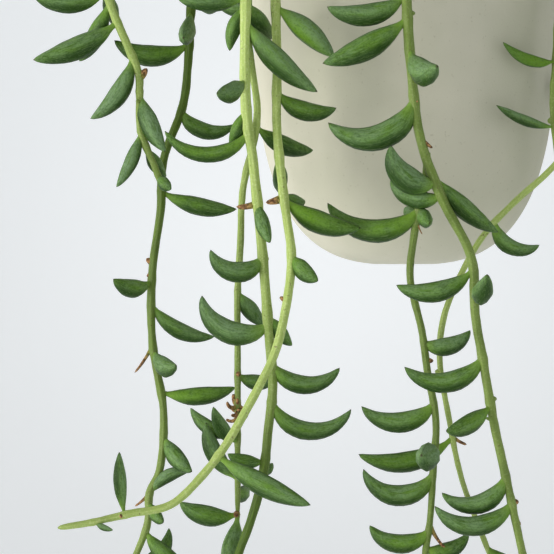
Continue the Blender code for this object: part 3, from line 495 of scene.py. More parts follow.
class Wiring:
    """A node tree with short ways to add and join nodes, for shapes and finishes alike."""

    def __init__(self, tree):
        self.tree = tree

    def feed(self, node, inputs):
        """Link a node's inputs, by name or number, to values in the tree, or set them."""
        for key, value in inputs.items():
            if isinstance(value, Value):
                self.tree.links.new(value.socket, node.inputs[key])
            else:
                node.inputs[key].default_value = value

    def node(self, kind, inputs=None, **settings):
        """Add a node, change its settings and feed it."""
        added = self.tree.nodes.new(kind)
        for name, value in settings.items():
            setattr(added, name, value)
        self.feed(added, inputs or {})
        return added

    def get(self, kind, inputs=None, output=0, **settings):
        """Add a node and return one of its outputs."""
        return Value(self, self.node(kind, inputs, **settings).outputs[output])

    def math(self, operation, *values):
        """One operation on numbers, or on vectors if the first value is one."""
        vector = isinstance(values[0], Value) and values[0].socket.type == "VECTOR"
        kind = "ShaderNodeVectorMath" if vector else "ShaderNodeMath"
        return self.get(kind, dict(enumerate(values)), operation=operation)

    def join(self, x, y, z):
        """Three numbers as a vector."""
        return self.get("ShaderNodeCombineXYZ", {0: x, 1: y, 2: z})

    def mix(self, share, first, second):
        """A colour between two colours."""
        first, second = (paint if isinstance(paint, Value) else (*paint, 1.0) for paint in (first, second))
        return self.get("ShaderNodeMix", {0: share, 6: first, 7: second}, 2, data_type="RGBA")

    def named(self, name, kind="FLOAT"):
        """A value that is stored on the mesh."""
        return self.get("GeometryNodeInputNamedAttribute", {0: name}, data_type=kind)

    def store(self, shape, name, value, kind="FLOAT", domain="POINT"):
        """The shape with a named value stored on it."""
        inputs = {"Geometry": shape, "Name": name, "Value": value}
        return self.get("GeometryNodeStoreNamedAttribute", inputs, data_type=kind, domain=domain)

    def above(self, value, limit):
        """Where a value is above a limit."""
        return self.get("FunctionNodeCompare", {0: value, 1: limit}, operation="GREATER_THAN")

    def moved(self, shape, offset, selection=True):
        """The shape with its selected points moved."""
        inputs = {"Geometry": shape, "Selection": selection, "Offset": offset}
        return self.get("GeometryNodeSetPosition", inputs)

    def scattered(self, points, collection, inputs):
        """Shapes of a collection, one on each point."""
        given = {"Collection": collection, "Separate Children": True, "Reset Children": True}
        shapes = self.get("GeometryNodeCollectionInfo", given)
        placed = {"Points": points, "Instance": shapes, "Pick Instance": True, **inputs}
        return self.get("GeometryNodeInstanceOnPoints", placed)

    def real(self, *shapes):
        """Shapes joined into one real mesh."""
        joined = self.node("GeometryNodeJoinGeometry")
        for shape in shapes:
            self.feed(joined, {0: shape})
        return self.get("GeometryNodeRealizeInstances", {0: Value(self, joined.outputs[0])})

    def ended(self, shape, *finishes):
        """The tree, ended with the shape in its finishes, each set where its selection holds."""
        for selection, finish in finishes:
            inputs = {"Geometry": shape, "Selection": selection, "Material": finish}
            shape = self.get("GeometryNodeSetMaterial", inputs)
        self.node("NodeGroupOutput", {0: shape})
        return self.tree


class Finish(Wiring):
    """A new material, painted in layers over its first colour."""

    def __init__(self, name, first):
        self.material = bpy.data.materials.new(name)
        self.material.use_nodes = True
        super().__init__(self.material.node_tree)
        self.place = self.get("ShaderNodeTexCoord", None, "Object")
        self.paint = first

    def stored(self, name, output="Fac"):
        """A value that is stored on the mesh."""
        return self.get("ShaderNodeAttribute", None, output, attribute_name=name)

    def layer(self, paint, share):
        """Paint a colour over a share of what is there."""
        self.paint = self.mix(share, self.paint, paint)

    def done(self, inputs, relief=None, distance=0.0):
        """Feed the shader, with fine relief if there is any, and return the material."""
        if relief is not None:
            inputs["Normal"] = self.get("ShaderNodeBump", {"Distance": distance, "Height": relief})
        self.feed(self.tree.nodes["Principled BSDF"], {"Base Color": self.paint, **inputs})
        return self.material


def shape_tree(name, values):
    """A geometry tree with an input for each named value, as its wiring and its inputs by name."""
    tree = bpy.data.node_groups.new(name, "GeometryNodeTree")
    kinds = {"Geometry": "NodeSocketGeometry", **{key: SOCKET_KINDS[type(values[key])] for key in values}}
    for key, kind in kinds.items():
        tree.interface.new_socket(key, in_out="INPUT", socket_type=kind)
    tree.interface.new_socket("Geometry", in_out="OUTPUT", socket_type="NodeSocketGeometry")
    wiring = Wiring(tree)
    return wiring, {socket.name: Value(wiring, socket) for socket in tree.nodes.new("NodeGroupInput").outputs}


def add_tree(thing, tree, values):
    """Put a geometry tree on an object, with its inputs set by the sockets' identifiers."""
    modifier = thing.modifiers.new(tree.name, "NODES")
    modifier.node_group = tree
    for item in tree.interface.items_tree:
        if item.item_type == "SOCKET" and item.name in values:
            modifier[item.identifier] = values[item.name]
    return thing


def plain_mesh(thing):
    """Replace an object's mesh with what its modifiers make of it."""
    graph = bpy.context.evaluated_depsgraph_get()
    mesh = bpy.data.meshes.new_from_object(
        thing.evaluated_get(graph), preserve_all_data_layers=True, depsgraph=graph
    )
    thing.modifiers.clear()
    thing.data = mesh
    return thing


def add_object(name, data):
    """Link a new object that holds the data."""
    thing = bpy.data.objects.new(name, data)
    bpy.context.scene.collection.objects.link(thing)
    return thing


def add_values(mesh, name, kind, values):
    """Store a value for each point of a mesh."""
    field = "vector" if kind == "FLOAT_VECTOR" else "value"
    mesh.attributes.new(name, kind, "POINT").data.foreach_set(field, np.ravel(values))


def shape_mesh(name, shape):
    """A new mesh from an edited shape, which is freed."""
    mesh = bpy.data.meshes.new(name)
    shape.to_mesh(mesh)
    shape.free()
    return mesh


def clear(collection):
    """Remove the shapes that were only there to be copied."""
    for thing in list(collection.objects):
        bpy.data.objects.remove(thing)


def hand_over(piece, slot, *nodes):
    """Set a finished piece on the frame in place of the nodes that it stands for."""
    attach(piece, BODY)
    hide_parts(*nodes)


def pot_finish(looks):
    """Matt ceramic with faint clouding and fine specks."""
    finish = Finish("matt_ceramic", looks.glaze)
    clouds = finish.place.noise(38, 3).rise(0.35, 0.65)
    specks = finish.place.noise(900, 1).rise(0.70, 0.76)
    grain = finish.place.noise(1400)
    finish.layer(looks.glaze_cloud, clouds)
    finish.layer(looks.glaze_speck, specks * 0.35)
    inputs = {"Roughness": grain * 0.16 + 0.58, "Specular IOR Level": 0.35}
    return finish.done(inputs, grain + clouds * 2.0, 0.00004)


def soil_finish(looks):
    """Dark damp compost."""
    finish = Finish("compost", looks.compost)
    lumps = finish.place.noise(420, 4, 0.65)
    fibres = (finish.place * (900, 900, 200)).noise(1, 3, 0.7)
    finish.layer(looks.compost_light, lumps.rise(0.38, 0.66))
    finish.layer(looks.fibre, fibres.rise(0.62, 0.74))
    return finish.done({"Roughness": lumps * 0.2 + 0.75}, lumps + fibres, 0.0006)


def grit_finish(looks):
    """Pale porous grit."""
    finish = Finish("white_grit", looks.grit_pore)
    pores = finish.place.noise(1800, 3, 0.7)
    finish.layer(looks.grit, pores.rise(0.35, 0.7))
    return finish.done({"Roughness": 0.9}, pores, 0.0002)


def steel_finish(looks):
    """Drawn steel wire with fine scratches and a dull bloom."""
    finish = Finish("drawn_steel", looks.steel)
    scratches = (finish.place * (2600, 2600, 160)).noise(1)
    bloom = finish.place.noise(260, 3).rise(0.4, 0.7)
    finish.layer(looks.steel_dull, bloom)
    rough = bloom * 0.12 + (scratches * 0.14 + 0.30)
    return finish.done({"Metallic": 1.0, "Roughness": rough}, scratches, 0.00001)


def leaf_finish(looks):
    """Fleshy leaf skin: fresh green at the neck, streaked and grained, with painted shade below and a painted
    dark edge line, under a patchy waxy bloom that is painted thicker on top as a painted sheen.
    """
    finish = Finish("fishhook_leaf", looks.leaf)
    skin = finish.stored("skin", "Vector")
    young = finish.stored("fresh")
    waxy = finish.stored("waxy")
    share, across, up = skin.split()
    shifted = skin + finish.join(finish.stored("tint") * 37.0, 0.0, 0.0)
    flank = abs(across) / (abs(across) + abs(up))
    streaks = (shifted * (8.0, 7.0, 7.0)).noise(1.0, 4, 0.7)
    hairlines = (shifted * (11.0, 15.0, 15.0)).noise(1.0, 2, 0.6)
    veils = (shifted * (3.4, 2.4, 2.4)).noise(1.0, 3, 0.65)
    grain = finish.place.noise(1300, 2, 0.6)
    finish.layer(looks.leaf_light, streaks.rise(0.36, 0.64))
    fresh = (young * 0.25 + finish.place.noise(170)).rise(0.40, 0.72) * share.rise(1.2, 0.2)
    finish.layer(looks.leaf_fresh, fresh * flank.rise(0.15, 0.55) * (young * 0.7 + 0.25))
    # Painted shade: the underside and the part towards the tip are painted dark green, less on the freshest
    # leaves.
    underside_shade = up.rise(0.1, -0.6) * share.rise(0.05, 0.4) * young.rise(1.6, 0.9)
    finish.layer(looks.leaf_shade_and_grain, underside_shade * 0.9)
    # Waxy bloom, real in its patches, but painted only on the upper side so that it also stands for a painted
    # sheen from above.
    bloom = (waxy * 0.2 + veils).rise(0.42, 0.74) * (waxy * 0.6 + 0.2) * up.rise(-0.75, 0.45)
    bloom = bloom * share.rise(-0.4, 0.55) * (streaks.rise(0.35, 0.6) * 0.4 + 0.6)
    finish.layer(looks.leaf_bloom_and_sheen, bloom)
    finish.layer(looks.leaf_hair, hairlines.rise(0.54, 0.68) * 0.35)
    # Real grain, in the same dark green as the painted shade below.
    finish.layer(looks.leaf_shade_and_grain, grain.rise(0.48, 0.66) * 0.28)
    # Painted shade: a thin dark line along the ridge and keel, where the outline falls when the leaf is seen
    # from the side.
    finish.layer(looks.leaf_edge_shade, flank.rise(0.22, 0.03) * 0.4)
    finish.layer(looks.leaf_neck, share.rise(0.26, 0.02) * 0.6)
    finish.layer(looks.leaf_tip, share.rise(0.965, 1.0))
    inputs = {
        "Roughness": bloom * 0.25 + (grain * 0.15 + 0.34), "Specular IOR Level": 0.15,
        "Subsurface Weight": 0.15, "Subsurface Radius": (0.6, 1.0, 0.15), "Subsurface Scale": 0.0015,
    }
    return finish.done(inputs, hairlines * 0.6 + streaks, 0.00014)


def stem_finish(looks):
    """Yellow-green stem with fine ridges along it, darker where its paleness is low, which is partly age and
    partly painted shade.
    """
    finish = Finish("succulent_stem", looks.stem_old_and_shaded)
    skin = finish.stored("skin", "Vector")
    pale = finish.stored("paleness")
    _, ring_x, ring_y = skin.split()
    streaks = (skin * (4.0, 9.0, 9.0)).noise(1.0, 4, 0.7)
    angle = skin.noise(0.4, 1) * 1.2 + finish.math("ARCTAN2", ring_y, ring_x)
    ribs = finish.math("SINE", angle * 6.0).rise(-0.7, 0.9)
    # Partly painted shade: stems that lie in shade have a low paleness and stay near the dark base colour.
    finish.layer(looks.stem_pale, pale)
    finish.layer(finish.mix(pale, looks.stem_dark, looks.stem_fresh), (1.0 - ribs) * 0.2)
    finish.layer(looks.stem_fresh, streaks.rise(0.42, 0.64) * 0.4)
    finish.layer(looks.stem_old_and_shaded, finish.place.noise(70).rise(0.50, 0.68) * (pale * -0.4 + 0.5))
    finish.layer(looks.stem_scuff, finish.place.noise(1500).rise(0.50, 0.70) * 0.4 * pale)
    finish.layer(looks.dried, finish.place.noise(800).rise(0.66, 0.73) * 0.55)
    inputs = {
        "Roughness": streaks * 0.2 + 0.36, "Specular IOR Level": 0.3,
        "Subsurface Weight": 0.1, "Subsurface Radius": (0.8, 1.0, 0.3), "Subsurface Scale": 0.001,
    }
    return finish.done(inputs, ribs * 0.5 + streaks, 0.0002)


def dried_finish(looks):
    """Dried brown stubs and aerial roots."""
    finish = Finish("dried_stub", looks.dried)
    fibres = finish.place.noise(1100, 3, 0.6)
    along, _, _ = finish.stored("skin", "Vector").split()
    finish.layer(looks.dried_pale, fibres.rise(0.38, 0.62))
    finish.layer(looks.stem_fresh, along.rise(0.6, 0.1) * 0.45)
    return finish.done({"Roughness": 0.85}, fibres, 0.0006)


def floor_finish(looks):
    """Plain pale backdrop with the faintest mottle."""
    finish = Finish("pale_backdrop", looks.floor)
    finish.layer(looks.floor_warm, finish.place.noise(0.4, 1))
    return finish.done({
        "Roughness": 1.0, "Specular IOR Level": 0.0,
        "Emission Color": (*looks.floor, 1.0), "Emission Strength": looks.backdrop_glow,
    })


def pot_radius(height):
    """The pot's outer radius at a height above its foot: a rounded bottom that runs into a flared wall."""
    rise = min(1.0, (height + foot_lift()) / POT_ROUND_HEIGHT)
    return (POT_RADIUS + POT_FLARE * height) * (1.0 - (1.0 - rise) ** POT_ROUNDNESS) ** (1.0 / POT_ROUNDNESS)


def foot_lift():
    """How far up the rounded bottom is cut off flat, to leave a foot of the wanted radius."""
    share = (FOOT_RADIUS / POT_RADIUS) ** POT_ROUNDNESS
    return POT_ROUND_HEIGHT * (1.0 - (1.0 - share) ** (1.0 / POT_ROUNDNESS))


def inner_radius(height):
    """The pot's inner radius at a height above its foot."""
    return pot_radius(max(0.0, height - POT_WALL * (1.0 - height / POT_HEIGHT))) - POT_WALL


def pot_profile():
    """Fine section of the pot: inner bottom, inner wall, round rim, outer wall and foot."""
    lowest = POT_HEIGHT - POT_WALL / 2
    shares = [(step / PROFILE_STEPS) ** PROFILE_CROWDING for step in range(PROFILE_STEPS + 1)]
    inner_heights = [POT_WALL + (lowest - POT_WALL) * share for share in shares]
    inner = [(0.0, POT_WALL)] + [(inner_radius(height), height) for height in inner_heights]
    middle = pot_radius(POT_HEIGHT) - POT_WALL / 2
    arc = [math.radians(180 - angle) for angle in range(15, 181, 15)]
    rim = [(middle + POT_WALL / 2 * math.cos(a), lowest + POT_WALL / 2 * math.sin(a)) for a in arc]
    falls = [(1.0 - step / PROFILE_STEPS) ** PROFILE_CROWDING for step in range(1, PROFILE_STEPS)]
    outer = [(pot_radius(lowest * fall), lowest * fall) for fall in falls]
    return inner + rim + outer + [(FOOT_RADIUS, 0.0), (0.0, 0.0)]


def turned(name, profile, sides):
    """A profile of (radius, height) points turned round the Z axis; where it runs out it faces up."""
    mesh = bpy.data.meshes.new(name)
    mesh.from_pydata([(r, 0.0, z) for r, z in profile], [(i, i + 1) for i in range(len(profile) - 1)], [])
    thing = add_object(name, mesh)
    screw = thing.modifiers.new("turn", "SCREW")
    screw.steps = sides
    screw.render_steps = sides
    screw.use_merge_vertices = True
    screw.merge_threshold = WELD_DISTANCE
    screw.use_normal_calculate = False
    return plain_mesh(thing)


def cut_wire_holes(pot):
    """Cut the three wire holes below the rim."""
    cutter_shape = bmesh.new()
    lie = Matrix.Rotation(math.radians(90), 4, "Y")
    for angle in WIRE_ANGLES:
        turn = Matrix.Rotation(math.radians(angle), 4, "Z")
        move = Matrix.Translation((pot_radius(POT_HEIGHT), 0, RIM_Z - WIRE_HOLE_DROP))
        bmesh.ops.create_cone(
            cutter_shape, cap_ends=True, segments=24, radius1=WIRE_HOLE_RADIUS, radius2=WIRE_HOLE_RADIUS,
            depth=POT_WALL * 4, matrix=turn @ move @ lie,
        )
    cutter = add_object("wire_holes", shape_mesh("wire_holes", cutter_shape))
    cut = pot.modifiers.new("wire_holes", "BOOLEAN")
    cut.operation = "DIFFERENCE"
    cut.object = cutter
    plain_mesh(pot)
    bpy.data.objects.remove(cutter)
    return pot


def rounded(points, reach):
    """The points with each corner rounded off over a short reach."""
    line = [points[0]]
    for before, corner, after in zip(points, points[1:], points[2:]):
        into = min(reach, (corner - before).length * 0.45)
        out = min(reach, (after - corner).length * 0.45)
        first = corner + (before - corner).normalized() * into
        last = corner + (after - corner).normalized() * out
        for step in range(CORNER_STEPS + 1):
            share = step / CORNER_STEPS
            line.append(first.lerp(corner, share).lerp(corner.lerp(last, share), share))
    return line + [points[-1]]


def wire_mesh(name, points, radius, sides_quarter):
    """A round wire along the points, as an object with a plain mesh."""
    curve = bpy.data.curves.new(name, "CURVE")
    curve.dimensions = "3D"
    curve.bevel_depth = radius
    curve.bevel_resolution = sides_quarter
    curve.use_fill_caps = True
    line = curve.splines.new("POLY")
    line.points.add(len(points) - 1)
    for index, point in enumerate(points):
        line.points[index].co = (*point, 1.0)
    guide = add_object(name + "_guide", curve)
    graph = bpy.context.evaluated_depsgraph_get()
    mesh = bpy.data.meshes.new_from_object(guide.evaluated_get(graph))
    bpy.data.objects.remove(guide)
    welded = bmesh.new()
    welded.from_mesh(mesh)
    bmesh.ops.remove_doubles(welded, verts=welded.verts, dist=WIRE_WELD_DISTANCE)
    bmesh.ops.recalc_face_normals(welded, faces=welded.faces)
    welded.to_mesh(mesh)
    welded.free()
    return add_object(name, mesh)


def dress(thing, finish, crease=40):
    """Give a mesh its only finish and smooth shading with crisp edges."""
    thing.data.materials.clear()
    thing.data.materials.append(finish)
    thing.data.shade_smooth()
    thing.data.set_sharp_from_angle(angle=math.radians(crease))
    return thing


def wire_points(angle):
    """Route of a hanger wire: down from the collar, through the hole below the rim, and up outside."""
    turn = Matrix.Rotation(math.radians(angle), 3, "Z")
    hole_z = RIM_Z - WIRE_HOLE_DROP
    inside = pot_radius(POT_HEIGHT) - POT_WALL
    outside = pot_radius(POT_HEIGHT)
    section = [
        (WIRE_TOP_RADIUS, WIRE_TOP_Z),
        (WIRE_TOP_RADIUS, WIRE_TOP_Z - 0.0105),
        (WIRE_TOP_RADIUS + 0.0007, WIRE_TOP_Z - 0.0135),
        (inside - 0.0052, hole_z + 0.0062),
        (inside - 0.0040, hole_z + 0.0022),
        (inside - 0.0026, hole_z + 0.0005),
        (inside - 0.0010, hole_z),
        (outside + 0.0012, hole_z),
        (outside + 0.0026, hole_z + 0.0006),
        (outside + 0.0034, hole_z + 0.0020),
        (outside + 0.0036, hole_z + 0.0060),
    ]
    return [turn @ Vector((radius, 0.0, z)) for radius, z in section]


def hook_points():
    """Route of the hook's wire: up out of the collar, then round the eye that it hangs by."""
    top = COLLAR_BOTTOM_Z + COLLAR_HEIGHT
    bend = HOOK_INNER_RADIUS + HOOK_WIRE_RADIUS
    shank = [Vector((0, 0, top - 0.004)), Vector((0, 0, top + 0.0022)), Vector((0.0012, 0, top + 0.0038))]
    angles = [math.radians(angle) for angle in range(-50, 216, 7)]
    return shank + [Vector((bend * math.cos(a), 0.0, bend * math.sin(a) - HOOK_INNER_RADIUS)) for a in angles]


def route_point(route, at):
    """Point in metres on the smooth curve through a route's points; at counts the points."""
    last = len(route) - 1
    first = min(int(at), last - 1)
    share = at - first
    a, b, c, d = (Vector(route[min(max(first + step, 0), last)]) for step in (-1, 0, 1, 2))
    bend = 2 * b + (c - a) * share + (2 * a - 5 * b + 4 * c - d) * share**2
    bend += (3 * b - a - 3 * c + d) * share**3
    return Vector((0.0, 0.0, RIM_Z)) + bend * 0.5 * MM


def route_points(route, step):
    """Points along a route: its straight root in the soil, then evenly spaced on the smooth curve."""
    count = ROUTE_FINENESS * (len(route) - 2)
    fine = [route_point(route, 1 + index / ROUTE_FINENESS) for index in range(count + 1)]
    travelled = [0.0]
    for before, after in zip(fine, fine[1:]):
        travelled.append(travelled[-1] + (after - before).length)
    count = max(4, round(travelled[-1] / step))
    wanted = np.linspace(0.0, travelled[-1], count + 1)
    axes = [np.interp(wanted, travelled, [point[axis] for point in fine]) for axis in range(3)]
    return [route_point(route, 0)] + [Vector(point) for point in zip(*axes)]


def seat(point, line):
    """The nearest point to it on a line of points, so that a leaf's root sits in its stem's middle."""
    nearest = line[0]
    for before, after in zip(line, line[1:]):
        _, share = intersect_point_line(point, before, after)
        foot = before.lerp(after, min(max(share, 0.0), 1.0))
        if (foot - point).length < (nearest - point).length:
            nearest = foot
    return nearest


def leaf_line(leaf, root, count):
    """Points along a leaf's middle, from its root to its tip."""
    angle = math.radians(leaf.side)
    out = Vector((math.cos(angle), math.sin(angle), 0.0))
    up = Vector((0.0, 0.0, 1.0))
    tilt = math.radians(leaf.tilt)
    turn = math.radians(leaf.turn)
    travel = leaf.length * MM * (turn / 2) / math.sin(turn / 2)
    points = [root.copy()]
    for index in range(count):
        middle = tilt - turn / 2 + turn * (index + 0.5) / count
        points.append(points[-1] + (out * math.cos(middle) + up * math.sin(middle)) * travel / count)
    return points


def leaf_scale(leaf):
    """Short leaves are thinner too."""
    return min(MOST_GIRTH, LEAST_GIRTH + leaf.length / GIRTH_LENGTH) * leaf.girth


def leaf_width(share):
    """Depth of a leaf, from 0 to 1, at a share of its length."""
    places = [place for place, _ in LEAF_SHAPE] + [1.0]
    widths = [width for _, width in LEAF_SHAPE] + [TIP_DEPTH / LEAF_DEPTH]
    return float(np.interp(share, places, widths))


def leaf_balls(leaf, root):
    """Balls that fill a leaf, as rows of x, y, z and radius, for keeping leaves apart."""
    points = leaf_line(leaf, root, LEAF_STEPS)
    size = leaf_scale(leaf) * LEAF_DEPTH / 2
    widths = [size * leaf_width(index / LEAF_STEPS) for index in range(LEAF_STEPS + 1)]
    return np.array([(*point, width) for point, width in zip(points, widths)])


def thinned(balls, share):
    """The balls with a share of their radius."""
    return balls * (1.0, 1.0, 1.0, share)


def stem_balls(stem):
    """Balls that fill a stem."""
    radius = STEM_RADIUS * stem.thickness
    return np.array([(*point, radius) for point in route_points(stem.route, BALL_STEP)])


def wire_balls():
    """Balls that fill the hanger's wires."""
    rows = []
    for angle in WIRE_ANGLES:
        points = wire_points(angle)
        for before, after in zip(points, points[1:]):
            steps = max(1, round((after - before).length / BALL_STEP))
            rows += [(*before.lerp(after, step / steps), WIRE_RADIUS) for step in range(steps + 1)]
    return np.array(rows)


def touches_pot(balls):
    """True if a ball comes too near the pot or the soil."""
    for x, y, z, radius in balls:
        reach = radius + CLEARANCE
        across = math.hypot(x, y)
        height = z - POT_BOTTOM_Z
        if height - reach > POT_HEIGHT or height + reach < 0.0:
            continue
        if across - reach > pot_radius(min(max(height, 0.0), POT_HEIGHT)):
            continue
        soil_top = POT_HEIGHT - SOIL_DEPTH + SOIL_CROWN
        if across + reach < pot_radius(POT_HEIGHT) - POT_WALL and height - reach > soil_top:
            continue
        return True
    return False


def too_near(balls, others):
    """True if any ball of one set comes nearer than the clearance to one of another set."""
    apart = np.linalg.norm(balls[:, None, :3] - others[None, :, :3], axis=2)
    return bool(np.any(apart < balls[:, None, 3] + others[None, :, 3] + CLEARANCE))


def fitted_leaf(leaf, root, taken, own_stem):
    """The leaf, turned, lifted or shortened until it is clear of everything, or None."""
    for share in LENGTHS_TRIED:
        for lift in LIFTS_TRIED:
            for turn in TURNS_TRIED:
                side, tilt = leaf.side + turn, leaf.tilt + lift
                trial = leaf._replace(side=side, tilt=tilt, length=leaf.length * share)
                balls = leaf_balls(trial, root)
                if touches_pot(balls[POT_BALL:]) or too_near(balls[FIRST_BALL:], taken):
                    continue
                if too_near(thinned(balls[STEM_BALL:], OWN_STEM_SHARE), own_stem):
                    continue
                return trial, balls
    return None, None


def rule_leaves(route, first, last, count, draw):
    """Leaves that alternate round a stem, with small seeded differences."""
    leaves = []
    for index in range(count):
        at = first + (last - first) * index / max(1, count - 1)
        along = (route_point(route, at + 0.1) - route_point(route, at)).normalized()
        heading = math.degrees(math.atan2(along.y, along.x)) if abs(along.z) < STEEP else 0.0
        side = heading + GOLDEN_ANGLE * index + draw.uniform(*SIDE_SWAY)
        length = draw.uniform(*RULE_LENGTHS) * (1.0 - RULE_SHORTENING * (index / count) ** 3)
        tilt, turn = draw.uniform(*RULE_TILTS), draw.uniform(*RULE_TURNS)
        leaves.append(Leaf(at, side % 360, length, tilt, turn))
    return leaves


def hanging_stem(name, angle, root_radius, reach, drop, count):
    """A stem that rises from the soil, arches over the rim and hangs down with a slight sway."""
    draw = random.Random(name)
    rim = pot_radius(POT_HEIGHT) / MM
    section = [
        (root_radius, -20), (root_radius, -8), (root_radius + 3, 6), (rim - 3, 14 + reach / 4),
        (rim + reach * 0.75, 8), (rim + reach, -12),
    ]
    steps = max(1, round(drop / BEND_SPACING))
    for step in range(1, steps + 1):
        section.append((rim + reach + draw.uniform(*BEND_SWAY), -12 - (drop - 12) * step / steps))
    route = []
    for index, (radius, z) in enumerate(section):
        turn = math.radians(angle + (3.0 * math.sin(index * 1.3) if index > 3 else 0.0))
        route.append((radius * math.cos(turn), radius * math.sin(turn), z))
    leaves = rule_leaves(route, 2.3, len(route) - 1.15, count, draw)
    return Stem(name, route, leaves, 0.95)


def crown_shoot(name, x, y, height, lean_x, lean_y):
    """A short young shoot in the middle of the pot."""
    draw = random.Random(name)
    route = [
        (x, y, -20), (x, y, -5), (x + lean_x * 0.2, y + lean_y * 0.2, height * 0.4),
        (x + lean_x * 0.6, y + lean_y * 0.6, height * 0.8), (x + lean_x, y + lean_y, height),
    ]
    return Stem(name, route, rule_leaves(route, 1.6, 3.85, 6, draw), 0.9)


def all_stems():
    """Every stem: those seen from the front, then the sides and back, then the crown."""
    sides = [hanging_stem(name, *sizes) for name, sizes in HANGING_STEMS.items()]
    crown = [crown_shoot(name, *sizes) for name, sizes in CROWN_SHOOTS.items()]
    return [*FRONT_STEMS, *sides, *crown]


def fitted_leaves(stem, taken):
    """The leaves of a stem and its fork that find room, by part, and the balls that they fill."""
    parts = [stem, stem.fork] if stem.fork else [stem]
    own = {part.name: stem_balls(part) for part in parts}
    found = {part.name: [] for part in parts}
    filled = []
    for part in parts:
        line = route_points(part.route, STEM_STEP)
        for leaf in part.leaves:
            root = seat(route_point(part.route, leaf.at), line)
            others = [thinned(balls, OWN_STEM_SHARE) for name, balls in own.items() if name != part.name]
            near = [taken] + [thinned(balls, OWN_LEAF_SHARE) for balls in filled] + others
            fitted, balls = fitted_leaf(leaf, root, np.vstack(near), own[part.name])
            if fitted is None:
                continue
            found[part.name].append(fitted)
            filled.append(balls[FIRST_BALL:])
    return found, np.vstack(filled)


# One thing that grows from a stem: where, a leaf's sizes, its girth, and how it looks.
Sprout = namedtuple("Sprout", "root side chord tilt turn size sway roll kind tint fresh waxy dry paleness")


def leaf_outline(share, peak, root, neck):
    """Fine outline of a leaf, from 0 to 1: a thin neck, a quick swelling, and a long drawn-out tip."""
    if share < neck:
        return root
    if share < peak:
        return root + (1.0 - root) * math.sin(math.pi / 2 * (share - neck) / (peak - neck)) ** LEAF_SWELL
    return max(TIP_WIDTH, math.cos(math.pi / 2 * (share - peak) / (1.0 - peak)) ** LEAF_DRAWN_OUT)


def add_skin(name, width_at, rings, sides, collection):
    """A leaf or growth laid straight, one unit long, with a soft ridge above and a keel below."""
    shape = bmesh.new()
    loops = []
    for index in range(rings):
        even = index / rings
        share = 0.6 * even + 0.2 * (1.0 - math.cos(math.pi * even))
        width = width_at(share)
        loop = []
        for corner in range(sides):
            angle = math.tau * corner / sides
            across = math.copysign(abs(math.sin(angle)) ** RIDGE_SHARPNESS, math.sin(angle))
            loop.append(shape.verts.new((share, width * across, width * math.cos(angle))))
        loops.append(loop)
    tip = shape.verts.new((1.0, 0.0, 0.0))
    shape.faces.new(loops[0])
    for before, after in zip(loops, loops[1:]):
        for index in range(sides):
            following = (index + 1) % sides
            shape.faces.new([before[index], before[following], after[following], after[index]])
    for index in range(sides):
        shape.faces.new([loops[-1][index], loops[-1][(index + 1) % sides], tip])
    bmesh.ops.recalc_face_normals(shape, faces=shape.faces)
    mesh = shape_mesh(name, shape)
    add_values(mesh, "skin", "FLOAT_VECTOR", [vertex.co for vertex in mesh.vertices])
    collection.objects.link(bpy.data.objects.new(name, mesh))


def add_skins():
    """The skins that the leaves and growths pick from, in the order of their kinds."""
    skins = bpy.data.collections.new("leaf_skins")
    add_skin("skin_0_hooked", lambda at: leaf_outline(at, **HOOKED_SKIN), SKIN_RINGS, SKIN_SIDES, skins)
    add_skin("skin_1_straight", lambda at: leaf_outline(at, **STRAIGHT_SKIN), SKIN_RINGS, SKIN_SIDES, skins)
    add_skin("skin_2_spur", lambda at: 1.0 - 0.55 * at, SMALL_SKIN_RINGS, SMALL_SKIN_SIDES, skins)
    add_skin("skin_3_knob", lambda at: math.sqrt(1.0 - at**2), SMALL_SKIN_RINGS, SMALL_SKIN_SIDES, skins)
    return skins


def stem_radii(part, line_count, leaves):
    """Radius at each point of a stem: thinning to a round end, with a swelling where each leaf grows."""
    last = len(part.route) - 1
    radii = []
    for index in range(line_count):
        share = index / (line_count - 1)
        steps_away = [(share * last - leaf.at) / SWELLING_REACH for leaf in leaves]
        swelling = min(1.0, sum(math.exp(-(away**2)) for away in steps_away))
        taper = 1.0 - SLOW_THINNING * share**2 - END_THINNING * share**12
        left = min(1.0, (line_count - 1 - index) / STEM_END_STEPS)
        rounding = max(END_ROUNDING, math.sqrt(1.0 - (1.0 - left) ** 2))
        radii.append(STEM_RADIUS * part.thickness * taper * rounding * (1.0 + SWELLING * swelling))
    return radii


def leaf_sprouts(key, part, leaves, draw):
    """The leaves of a stem as sprouts, each a little different; those of the young shoots are slimmer."""
    girth = SHOOT_LEAF_GIRTH if key in CROWN_SHOOTS else 1.0
    sprouts = []
    for number, leaf in enumerate(leaves):
        straight = leaf.turn < STRAIGHT_TURN
        drawn = (draw.uniform(*USUAL_FRESH), draw.uniform(*USUAL_WAXY))
        fresh, waxy = LEAF_LOOKS.get(key, {}).get(number, drawn)
        sprouts.append(
            Sprout(
                route_point(part.route, leaf.at), math.radians(leaf.side), leaf.length * MM,
                math.radians(leaf.tilt), math.radians(leaf.turn), leaf_scale(leaf) * girth,
                draw.uniform(*LEAF_SWAY), draw.uniform(*LEAF_ROLL), 1 if straight else 0,
                draw.random(), fresh, waxy, 0.0, 0.0,
            )
        )
    return sprouts


def paleness_at(key, share):
    """How pale a stem or a fork is at a share of its route."""
    first, last = STEM_PALENESS.get(key, USUAL_PALENESS)
    return min(1.0, max(0.0, first + (last - first) * share))


